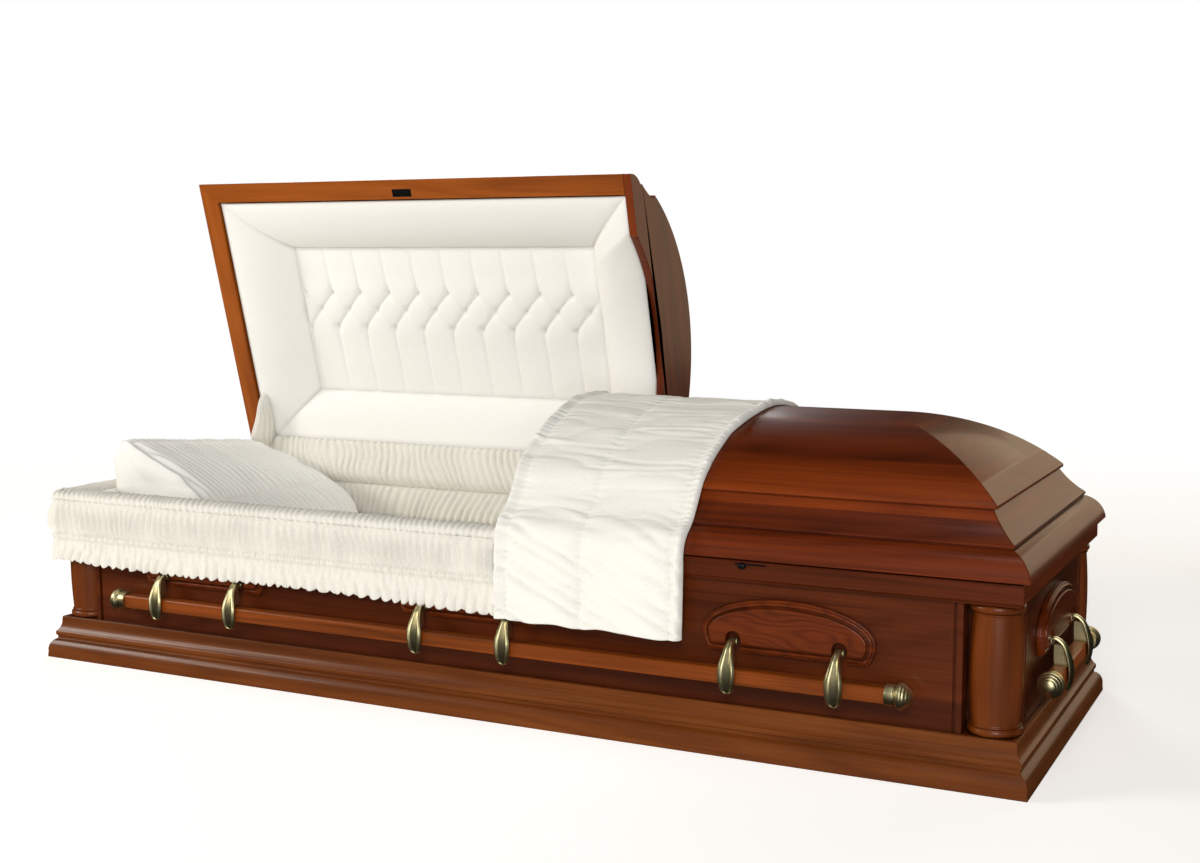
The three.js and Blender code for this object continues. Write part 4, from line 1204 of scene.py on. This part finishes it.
def hingeCover(form=hingeForm):
    # Shirred cloth that runs on from the back wall over the hinge to the lid's lining
    line = through(np.array(hingeLine) * mm, 3)
    normal = leftNormals(line)
    x = np.linspace(form["headEnd"], form["footEnd"],
                    int((form["footEnd"] - form["headEnd"]) / form["step"]))
    share = np.linspace(0, 1, len(line))[:, None]
    reach = runLength(line)[:, None]
    lean = x[None] + 0.45 * reach
    full = np.sin(np.pi * np.clip(share, 0.0, 1)) ** 0.5
    off = (0.25 + 0.75 * full) * form["pleat"] * pleats(lean, reach, form["pitch"], 31) + 3 * mm * full
    y = line[:, :1] + normal[:, :1] * off
    z = line[:, 1:] + normal[:, 1:] * off
    points = np.stack([np.broadcast_to(x[None], y.shape), y, z], -1)
    piece = sheetPiece("hinge_cover", points, form["thickness"])
    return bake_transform(piece)


# The head lid's lining, given as it lies when the lid is closed
borderForm = {
    "outer": 54 * mm, "side": 130 * mm, "head": 139 * mm, "foot": 131 * mm, "rim": 2.5 * mm,
    "depth": 80 * mm, "round": 0.62, "seam": 5 * mm, "thickness": 2.5 * mm,
}


def lidRectangles(form=borderForm):
    # Outer and inner corners of the border, from the head front corner round to the foot front
    x0, x1, y = form["outer"] - halfLength, headLidEnd - 0.6 * mm, halfWidth - form["outer"]
    outer = np.array([(x0, -y), (x0, y), (x1, y), (x1, -y)])
    x0, x1, y = x0 + form["head"], x1 - form["foot"], y - form["side"]
    return outer, np.array([(x0, -y), (x0, y), (x1, y), (x1, -y)])


def lidBorder(form=borderForm):
    # Four smooth bolsters, mitred: across a bolster the section is part quarter ellipse and
    # part straight slope; it pulls in to a crease at the mitres and at the panel's seam
    outer, inner = lidRectangles(form)
    w = np.linspace(0, 1, 40)
    turn = w * np.radians(86)
    arch = np.column_stack([np.sin(turn) / np.sin(turn[-1]), (1 - np.cos(turn)) / (1 - np.cos(turn[-1]))])
    section = form["round"] * arch + (1 - form["round"]) * w[:, None]
    parts = []
    for k in range(4):
        a = 0.5 - 0.5 * np.cos(np.linspace(0, np.pi, 90))
        start = outer[k] + (outer[(k + 1) % 4] - outer[k]) * a[:, None]
        end = inner[k] + (inner[(k + 1) % 4] - inner[k]) * a[:, None]
        plan = start[:, None] + (end - start)[:, None] * section[None, :, :1]
        # At the split the cloth's edge climbs along the end board's arch
        low = form["rim"] + np.zeros(len(a))
        if k == 2:
            archShare = np.clip(1 - (start[:, 1] / (lidForm["archHalf"] + 6 * mm)) ** 2, 0, 1)
            low = low + (lidForm["archRise"] + 2 * mm) * archShare
        span = np.linalg.norm(outer[(k + 1) % 4] - outer[k])
        toMitre = np.minimum(a, 1 - a)[:, None] * span + 0 * w
        puff = 1 - np.exp(-((toMitre / (12 * mm)) ** 1.2))
        edge = 1 - np.exp(-(((1 - w) * form["side"] / (6 * mm)) ** 1.1))
        lip = 1 - np.exp(-((w * form["side"] / (7 * mm)) ** 1.1))
        rise = low[:, None] + (form["depth"] - low[:, None]) * section[None, :, 1]
        bulge = 14 * mm * np.sin(np.pi * w[None]) * np.clip(low[:, None] / (60 * mm), 0, 1)
        height = lidBottom + rise - bulge + form["seam"] * (1 - puff * edge[None] * lip[None])
        points = opened(np.concatenate([plan, height[..., None]], -1))
        parts.append(patch(points, np.zeros((*points.shape[:2], 2))))
    piece = makePiece("lid_border", parts, paddedLitCrepe, sharpAngle=180, solid=False)
    thickened(piece, form["thickness"], 1)
    return carried(piece, "head_lid", "ivory_cloth", "head_lid_lining")


tuftForm = {
    "pitch": 82 * mm, "firstX": -776 * mm, "upperY": -69 * mm, "middleY": -28 * mm, "lowerY": 18 * mm,
    "puff": 8 * mm, "width": 4 * mm, "button": 7 * mm, "columns": 344, "rows": 156,
    "under": 3 * mm,  # how far the panel runs under the border
}


def tuftedPanel(form=tuftForm):
    # Flat panel with pulled points in three rows: the puff grows with the distance to the
    # nearest fold, 1 - exp(-d / width), and each point is drawn in further
    inner = lidRectangles()[1]
    low, high = inner.min(0) - form["under"], inner.max(0) + form["under"]
    x, y = np.meshgrid(np.linspace(low[0], high[0], form["columns"]),
                       np.linspace(low[1], high[1], form["rows"]))
    pitch, top, bottom = form["pitch"], low[1], high[1]
    cell = np.round((x - form["firstX"]) / pitch)
    local = x - form["firstX"] - cell * pitch
    upper, middle, lower = (0, form["upperY"]), (-pitch / 2, form["middleY"]), (-pitch, form["lowerY"])
    # Distances to the nearest deep fold, faint fold and button; 1 stands for far off
    strong = faint = knots = 1.0
    for k in (-1, 0, 1, 2):
        shift = lambda point: (point[0] + k * pitch, point[1])
        for a, b in (((-5 * mm, top), upper), (upper, middle), (middle, lower),
                     (lower, (4 * mm - pitch, bottom))):
            strong = np.minimum(strong, distanceTo(local, y, shift(a), shift(b)))
        for a, b in ((middle, (0, form["lowerY"])), (middle, (-pitch, form["upperY"]))):
            faint = np.minimum(faint, distanceTo(local, y, shift(a), shift(b)))
        for knot in (upper, middle, lower):
            knots = np.minimum(knots, np.hypot(local - knot[0] - k * pitch, y - knot[1]))
    biscuit = eased(y, form["upperY"] - 50 * mm, form["upperY"])
    biscuit = biscuit * (1 - eased(y, form["lowerY"], form["lowerY"] + 60 * mm))
    full = form["puff"] * (0.50 + 0.50 * biscuit)
    deep = 0.55 * (1 - np.exp(-strong / form["width"])) + 0.45 * (1 - np.exp(-strong / (16 * mm)))
    rise = full * deep * (1 - 0.22 * biscuit * np.exp(-faint / (5 * mm)))
    rise = rise - form["button"] * np.exp(-((knots / (8 * mm)) ** 1.3))
    border = np.minimum(np.minimum(x - low[0], high[0] - x), np.minimum(y - low[1], high[1] - y))
    rise = rise * (1 - np.exp(-border / (8 * mm))) + 0.5 * mm * (noise(x / 0.03, y / 0.03, 51) - 0.5)
    z = lidBottom + borderForm["depth"] + 1 * mm - rise
    points = opened(np.stack([x, y, z], -1))
    back = opened(np.stack([x, y, np.full_like(x, lidBottom + borderForm["depth"] + 8 * mm)], -1))
    piece = makePiece("tufted_panel", flatBacked(points, back), paddedLitCrepe, sharpAngle=60)
    return carried(piece, "head_lid", "ivory_cloth", "head_lid_lining")


pillowForm = {
    "halfWidth": 232 * mm, "centre": (-835 * mm, 318 * mm), "pitch": 19 * mm, "pleat": 8.5 * mm,
    "stitches": (0.245, 0.72), "plain": 26 * mm, "frontRise": 42 * mm, "lower": 8 * mm, "dent": 22 * mm,
    "keep": 0.46, "lowest": 250.8 * mm, "across": 190, "endSteps": 6,
}
# (x, z) round the pillow's side, from its foot edge up the slope, over the ridge and down, in millimetres
pillowLine = [(-640, 252), (-652, 278), (-690, 318), (-745, 358), (-815, 396), (-880, 425), (-925, 443),
              (-948, 446), (-966, 430), (-972, 395), (-970, 350), (-964, 300), (-955, 252), (-800, 250)]


def pillow(form=pillowForm):
    # Wedge: rings of its side outline stand across it, drawn in round the two end seams, then
    # close over plain end faces; the shirring runs down the slope between two stitch rows
    line = through(np.array(pillowLine + pillowLine[:1]) * mm, 13)[:-1]
    centre = np.array(form["centre"])
    reach = runLength(line)
    top = eased(reach, 0.01, 0.05) * (1 - eased(reach, 0.56, 0.62))  # 1 where it is shirred
    share = np.clip(reach / 0.50, 0, 1)
    ends = np.ones(form["endSteps"])
    across = np.concatenate([-ends, np.linspace(-1, 1, form["across"]), ends])
    closing = np.linspace(0.02, 0.93, form["endSteps"])
    shrink = np.concatenate([closing, np.ones(form["across"]), closing[::-1]])
    rounded = 1 - 0.075 * np.clip((np.abs(across) - 0.86) / 0.14, 0, 1) ** 2.2
    size = (rounded * shrink)[:, None]
    ringX = centre[0] + (line[None, :, 0] - centre[0]) * size
    ringZ = centre[1] + (line[None, :, 1] - centre[1]) * size
    y = np.broadcast_to(across[:, None] * form["halfWidth"], ringX.shape).copy()
    bulge = np.sqrt(np.clip(1 - shrink[:, None] ** 2, 0, 1)) * 9 * mm
    y += np.sign(across[:, None]) * bulge
    normal = leftNormals(line)
    plain = eased(form["halfWidth"] - np.abs(y), form["plain"] * 0.4, form["plain"])
    rows = np.array(form["stitches"])
    held = sum(np.exp(-(((share - row) / 0.018) ** 2)) for row in rows)[None]
    fold = pleats(y + 0.05 * (share[None] - 0.5), share[None] * 0.3 + 0 * y, form["pitch"], 61)
    lift = plain * top[None] * (form["pleat"] * fold * (1 - 0.6 * held) - 1.8 * mm * held)
    endShare = np.clip((1 - shrink[:, None]) * 3, 0, 1)
    dent = (noise(ringX / 0.07, ringZ / 0.055, 65) - 0.6) * (1 - plain) * endShare
    y = y + np.sign(y) * form["dent"] * dent
    piping = np.exp(-(((np.abs(y) - form["halfWidth"] + 4 * mm) / (3.2 * mm)) ** 2))
    piping = piping * (shrink[:, None] > 0.9)
    crumple = (noise(ringX / 0.035, ringZ / 0.035 + y / 0.05, 63) - 0.5) * (1 - plain)
    lift = lift + 6.0 * mm * piping + 13 * mm * crumple * (shrink[:, None] > 0.5)
    ringX = ringX - normal[None, :, 0] * lift
    ringZ = ringZ - normal[None, :, 1] * lift
    upper = eased(ringZ, 0.30, 0.44)
    ringZ = ringZ - upper * (form["lower"] + form["frontRise"] * (y / form["halfWidth"]) * 0.6)
    ringZ = np.maximum(ringZ, form["lowest"])
    points = np.stack([ringX, y, ringZ], -1)
    uv = np.zeros((points.shape[0], points.shape[1] + 1, 2))
    piece = makePiece("shirred_pillow", loft(points, uv), paddedLitCrepe, sharpAngle=180)
    carried(piece, "box", "ivory_cloth", "pillow")
    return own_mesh(piece)


bedForm = {
    "quilt": 90 * mm, "puff": 5 * mm, "cornerCut": 110 * mm, "roundDrop": 14 * mm, "crown": 12 * mm,
    "columns": 210, "rows": 70,
}


def bed(form=bedForm):
    # Bed cover: a low crowned pad with shallow quilted squares, cut across at the corners
    low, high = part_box("mattress")
    x, y = np.meshgrid(np.linspace(low.x, high.x, form["columns"]),
                       np.linspace(low.y, high.y, form["rows"]))
    reachX, reachY = high.x - np.abs(x), high.y - np.abs(y)
    cutReach = (reachX + reachY - form["cornerCut"]) / math.sqrt(2)
    edge = np.minimum(np.minimum(reachX, reachY), np.maximum(cutReach, 0))
    quilt = np.abs(np.sin(np.pi * x / form["quilt"]) * np.sin(np.pi * y / form["quilt"])) ** 0.6
    top = high.z - form["roundDrop"] + form["crown"] * (1 - np.exp(-edge / 0.02))
    top = top + form["puff"] * (quilt - 0.6) * eased(edge, 0, 0.05)
    scale = np.where(cutReach < 0, 1 + cutReach / (np.abs(x) + np.abs(y)) * math.sqrt(2), 1)
    points = np.stack([x * scale, y * scale, np.minimum(top, high.z + 1 * mm)], -1)
    floor = np.stack([points[..., 0], points[..., 1], np.full_like(x, low.z)], -1)
    piece = makePiece("bed_cover", flatBacked(points, floor), drapedLitCrepe, sharpAngle=60)
    return carried(piece, "box", "ivory_cloth", "mattress")


overlayForm = {
    "left": 79 * mm, "leftHang": 71 * mm, "hem": 201 * mm, "lift": 2.2 * mm, "seamIn": 27 * mm,
    "puff": 7 * mm, "fold": 9 * mm, "pucker": 3.4 * mm, "puckerPitch": 11 * mm, "edgeRoll": 6 * mm,
    "edgePuff": 4.5 * mm, "rows": 300, "under": 0.9 * mm, "cornerRound": 7 * mm, "squashAt": 0.46,
}
# Where the overlay's right edge lies: (height, x), in millimetres, up to the ridge
overlayEdge = [(200, 451), (349, 454), (409, 457), (500, 460), (545, 466), (580, 486)]


def averaged(values, reach):
    # Running mean over 2 * reach + 1 rows; the ends carry on straight
    wide = np.pad(values, [(reach, reach)] + [(0, 0)] * (values.ndim - 1), mode="reflect",
                  reflect_type="odd")
    total = np.cumsum(np.concatenate([np.zeros_like(wide[:1]), wide]), axis=0)
    return (total[2 * reach + 1:] - total[:-2 * reach - 1]) / (2 * reach + 1)


def overlayLine(form):
    # (y, z) from the front hem up over the lid's outermost points and down to its back edge
    outer = lidOuter()
    filletTop = lidBottom + lidForm["ovoloHeight"] + lidForm["filletHeight"]
    heights, crownLow = outer[:, 1], lidBottom + lidForm["crownEdge"] - 2 * mm
    hull = outer[(heights <= filletTop + 1 * mm) | (heights >= crownLow)]
    front = np.column_stack([hull[:, 0] - halfWidth, hull[:, 1]])
    back = (front[:-1] * (-1, 1))[::-1]
    hanging = [(front[0, 0] - 0.5 * mm, height) for height in (form["hem"], 270 * mm, 335 * mm)]
    path = softened(np.vstack([hanging, front, back]), form["cornerRound"], closed=False, leastTurn=8)
    even = np.linspace(0, runLength(path)[-1], form["rows"])
    line = resampled(path, even)
    # Averaged over a hand's breadth, then pushed out again where that cut a corner
    taut = averaged(line, 9)
    side = leftNormals(taut)
    short = np.clip(((line - taut) * side).sum(1), 0, None)
    spread = averaged(1.5 * short + np.roll(short, 3) * 0.3 + np.roll(short, -3) * 0.3, 4)
    line = taut + side * spread[:, None]
    return line, leftNormals(line), even


def overlay(form=overlayForm):
    # Cloth over the foot lid: along each row x runs from a rolled left edge over three gather
    # seams to a rolled right edge; between seams it puffs, with soft folds along X
    line, normal, reach = overlayLine(form)
    heights, ends = (np.array(overlayEdge) * mm).T
    ridge = np.argmax(line[:, 1])
    end = np.interp(line[:, 1], heights, ends)
    end[ridge:] = ends[-1] + 0.004 * np.linspace(0, 1, len(line) - ridge)
    hanging = 1 - eased(reach, 0.10, 0.22)
    left = form["left"] + (form["leftHang"] - form["left"]) * hanging
    left = left + 6 * mm * (noise(reach / 0.07, 0, 71) - 0.5)
    c = np.concatenate([np.linspace(0, 0.06, 9)[:-1], np.linspace(0.06, 0.95, 84),
                        np.linspace(0.95, 1, 9)[1:]])
    x = left[:, None] + (end - left)[:, None] * c[None]
    fromLeft, fromRight = x - left[:, None], end[:, None] - x
    middle = (left[:, None] + end[:, None]) / 2 - 10 * mm
    seams = np.stack([fromLeft - form["seamIn"], x - middle, fromRight - form["seamIn"] * 0.85])
    toSeam = np.abs(seams).min(0)
    r = np.broadcast_to(reach[:, None], x.shape)
    pull = np.exp(-toSeam / (13 * mm))
    pucker = np.abs(np.sin(np.pi * r / form["puckerPitch"] + 5 * noise(r / 0.03, x / 0.1, 73)))
    # Folds run across from seam to seam, creased, and fade towards the middle of each panel
    broad = noise(r / 0.040 + 0.6 * noise(x / 0.09, r / 0.2, 75), x / 0.20, 74)
    bent = r + 0.010 * np.sin(x / 0.05 + 6 * noise(r / 0.06, x / 0.4, 78))
    folds = np.abs(2 * noise(bent / 0.017, x / 0.13, 76) - 1) ** 0.7
    hang = 1 - eased(r, 0.10, 0.24)
    slant = np.abs(2 * noise((r + 0.45 * (x - middle)) / 0.024, x / 0.25, 79) - 1) ** 0.7
    crease = folds * (1 - 0.6 * hang) + 2.3 * slant * hang
    lift = form["lift"] + form["puff"] * (1 - np.exp(-toSeam / (16 * mm))) * (0.35 + 0.65 * broad)
    lift += form["fold"] * crease * (0.30 + 0.70 * np.exp(-toSeam / (38 * mm))) * (1 - 0.6 * pull)
    lift += pull * (form["pucker"] * pucker - 0.8 * mm)
    roll = form["edgeRoll"]
    edge = np.minimum(fromLeft, fromRight)
    tuck = np.sqrt(np.clip(1 - (1 - np.clip(edge / roll, 0, 1)) ** 2, 0, 1))
    lift = np.maximum(lift, form["under"]) * (0.15 + 0.85 * tuck)
    lift += form["edgePuff"] * np.exp(-(((edge - 9 * mm) / (7 * mm)) ** 2)) * (0.55 + 0.45 * pucker)
    y = line[:, :1] + normal[:, :1] * lift
    z = line[:, 1:] + normal[:, 1:] * lift
    sway = 5 * mm * (noise(x / 0.05, 0, 80) - 0.5) - 2 * mm * eased(x, 0.34, 0.44)
    sway = np.exp(-r / (25 * mm)) * sway  # near the hem only
    outside = np.stack([x, y, z + sway], -1)
    underY, underZ = (line + normal * form["under"]).T[:, :, None] + 0 * x
    inside = np.stack([x, underY, underZ + sway], -1)
    rings = np.concatenate([outside, inside[:, ::-1]], 1)
    uv = np.zeros((rings.shape[0], rings.shape[1] + 1, 2))
    piece = makePiece("foot_overlay", [patch(rings, uv, wrap=True), *stripEnds(rings)], drapedLitCrepe,
                      sharpAngle=180)
    carried(piece, "foot_lid", "ivory_cloth", "overlay")
    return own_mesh(piece)


def stripEnds(rings):
    # Closes the first and last ring of a flat tube with quads from its upper to its lower side
    half = rings.shape[1] // 2
    parts = []
    for ring in (rings[0], rings[-1]):
        pair = np.stack([ring[:half], ring[half:][::-1]])
        parts.append(patch(pair, np.zeros((2, half, 2))))
    return parts


sleeveForm = {"x": -986 * mm, "pleat": 5 * mm, "pitch": 19 * mm, "columns": 96}
# (height, front y, back y, half width along X) of the sleeve, in millimetres
sleeveLine = [(322, 292, 334, 9), (360, 272, 343, 12), (413, 263, 353, 15), (461, 284, 358, 15),
              (503, 297, 352, 12),
              (530, 318, 347, 9), (549, 334, 344, 3)]


def supportSleeve(form=sleeveForm):
    # Loose sleeve over the lid's support: flat oval rings up its height, with hanging folds
    line = through(np.array(sleeveLine) * mm, 9)
    turn = np.linspace(0, 2 * np.pi, form["columns"], endpoint=False)
    z = line[:, :1] + 0 * turn
    middle, half = (line[:, 1:2] + line[:, 2:3]) / 2, (line[:, 2:3] - line[:, 1:2]) / 2
    around = turn[None] * 0.045 + 0 * z
    fold = (pleats(around + 0.25 * z, z, form["pitch"], 91) - 0.5) * form["pleat"]
    fold = fold * np.clip(half / (30 * mm), 0, 1)
    x = form["x"] + (line[:, 3:] + fold) * np.cos(turn)
    y = middle + (half + 0.5 * fold) * np.sin(turn)
    blank = np.zeros((len(line), len(turn) + 1, 2))
    piece = makePiece("support_sleeve", loft(np.stack([x, y, z], -1), blank),
                      crepe, sharpAngle=180)
    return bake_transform(piece)


lockForm = {"slot": (544 * mm, 601 * mm), "low": 339.6 * mm, "high": 343 * mm, "stud": 557 * mm,
            "plate": ((-500 * mm, -339 * mm), (-450 * mm, -321 * mm)), "thickness": 0.9 * mm}


def lock(form=lockForm):
    # Slot and key stud on the front rail, and the strike plate on the head lid's front rail; the slot
    # is a thin blackened steel slab, painted shade for the dark inside the latch hole
    face = -(halfWidth - railInset)
    outline = np.array([(face - 0.5 * mm, form["low"]), (face + 2 * mm, form["low"]),
                        (face + 2 * mm, form["high"]), (face - 0.5 * mm, form["high"])])
    # Painted shade: a dark steel slab on the rail's face instead of a cut slot
    parts = prism(outline, *form["slot"], edge=0.2 * mm)
    steps = np.array([(0, 0), (0, 5.4), (3.5, 5.6), (6.5, 4.6), (7.6, 2.6), (7.8, 0)]) * mm
    turn = Matrix.Translation((form["stud"], face + 0.6 * mm, form["low"] - 1.5 * mm))
    turn = turn @ Matrix.Rotation(-math.pi / 2, 4, "Z")
    parts += moved(turnedParts(softened(steps, 0.8 * mm, closed=False), 32),
                   turn @ Matrix.Diagonal((1, 1.45, 0.95, 1)))
    carried(makePiece("rail_lock", parts, steel), "box", "rail_wood", "top_rail")
    (x0, y0), (x1, y1) = form["plate"]
    plate = np.array([(y0, lidBottom - form["thickness"]), (y1, lidBottom - form["thickness"]),
                      (y1, lidBottom + 1 * mm), (y0, lidBottom + 1 * mm)])
    parts = prism(plate, x0, x1, edge=0.3 * mm)
    for x, radius in ((x0 + 8 * mm, 3.4), (x1 - 8 * mm, 3.4), ((x0 + x1) / 2, 5.0)):
        head = np.array([(0, 0), (0, radius), (1.2, radius * 0.8), (1.7, 0)]) * mm
        at = Matrix.Translation((x, (y0 + y1) / 2, lidBottom - form["thickness"]))
        at = at @ Matrix.Rotation(math.pi / 2, 4, "Y")
        parts += moved(turnedParts(head, 24), at)
    plate = makePiece("strike_plate", openedParts(parts), steel)
    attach(plate, "head_lid")


rimSkirtDrop()
rimSkirtRoll()
print("rim skirt made")
wallLining()
cornerGussets()
hingeCover()
bed()
pillow()
print("interior made")
lidBorder()
tuftedPanel()
print("lid lining made")
overlay()
supportSleeve()
lock()
print("overlay, sleeve and lock made")


# Stage

stageForm = {
    "floor": "#f6f5f3", "cloud": "#fbfaf8", "world": "#ffffff", "half": 6, "glow": 0.5,
    "clear": 2.0, "gone": 4.4,  # the floor fades out between these distances from the middle
}


def makeStage(form=stageForm):
    # Pale floor that fades into a white studio further out; the lights alone show in the gloss
    points = form["half"] * np.array([[(-1, -1, 0), (1, -1, 0)], [(-1, 1, 0), (1, 1, 0)]], float)
    material, tree = newMaterial("painted floor")
    place = addNode(tree, "ShaderNodeTexCoord")
    cloud = addNode(tree, "ShaderNodeTexNoise", {"Scale": 0.8}, {"Vector": place.outputs["Object"]})
    colour = rampOf(tree, cloud.outputs["Fac"], [(0.0, form["floor"]), (1.0, form["cloud"])])
    shader = addNode(tree, "ShaderNodeBsdfPrincipled", {
        "Roughness": 0.9, "Specular IOR Level": 0.1, "Emission Color": linear(form["cloud"]),
        "Emission Strength": form["glow"],
    }, {"Base Color": colour.outputs["Color"]})
    reach = addNode(tree, "ShaderNodeVectorMath", {"operation": "LENGTH"}, {0: place.outputs["Object"]})
    fade = addNode(tree, "ShaderNodeMapRange", {"From Min": form["clear"], "From Max": form["gone"]},
                   {"Value": reach.outputs["Value"]})
    clear = addNode(tree, "ShaderNodeBsdfTransparent")
    mixed = addNode(tree, "ShaderNodeMixShader", links={
        0: fade.outputs["Result"], 1: shader.outputs["BSDF"], 2: clear.outputs["BSDF"]})
    shown(tree, mixed)
    floor = makePiece("floor", [patch(points, points[..., :2])], material, solid=False)
    floor.visible_glossy = False
    world = bpy.data.worlds.new("studio")
    bpy.context.scene.world = world
    world.use_nodes = True
    world.node_tree.nodes["Background"].inputs["Color"].default_value = linear(form["world"])
    world.node_tree.nodes["Background"].inputs["Strength"].default_value = 1.0
    world.cycles_visibility.diffuse = world.cycles_visibility.glossy = False
    bpy.context.scene.view_settings.view_transform = "Standard"


# Soft lights: (place, aim, (width, height), power in watts, colour)
lights = {
    "key": ((2.6, -7.2, 4.6), (0, 0, 0.4), (3.6, 2.6), 265, "#ffffff"),
    "front": ((3.6, -8.4, 0.9), (0, 0, 0.5), (3.4, 1.4), 158, "#ffffff"),
    "left": ((-4.3, -2.3, 2.5), (-0.2, 0, 0.4), (1.5, 1.5), 96, "#fffaf2"),
    "top": ((1.1, -1.1, 3.8), (0, 0, 0.3), (1.8, 1.6), 18, "#ffffff"),
    "back": ((1.9, 5.2, 2.2), (0.9, 0, 0.5), (3.6, 4.2), 54, "#ffe3bd"),
    "rear": ((-3.2, 5.4, 2.8), (-0.3, 0, 0.4), (3.0, 2.4), 110, "#ffffff"),
    "strip": ((-3.6, -3.4, 2.2), (-0.9, -0.3, 0.1), (1.0, 0.7), 22, "#fff4e2"),
}


def makeLights():
    # Area lights turned to face their aim
    for name, (place, aim, size, power, colour) in lights.items():
        data = bpy.data.lights.new(name, "AREA")
        data.shape, data.size, data.size_y, data.energy = "RECTANGLE", *size, power
        data.color = linear(colour)[:3]
        light = bpy.data.objects.new(name, data)
        bpy.context.scene.collection.objects.link(light)
        light.location = place
        way = np.array(aim, float) - np.array(place, float)
        light.rotation_euler = Euler((math.acos(-way[2] / np.linalg.norm(way)), 0,
                                      math.atan2(-way[0], way[1])))


makeStage()
makeLights()
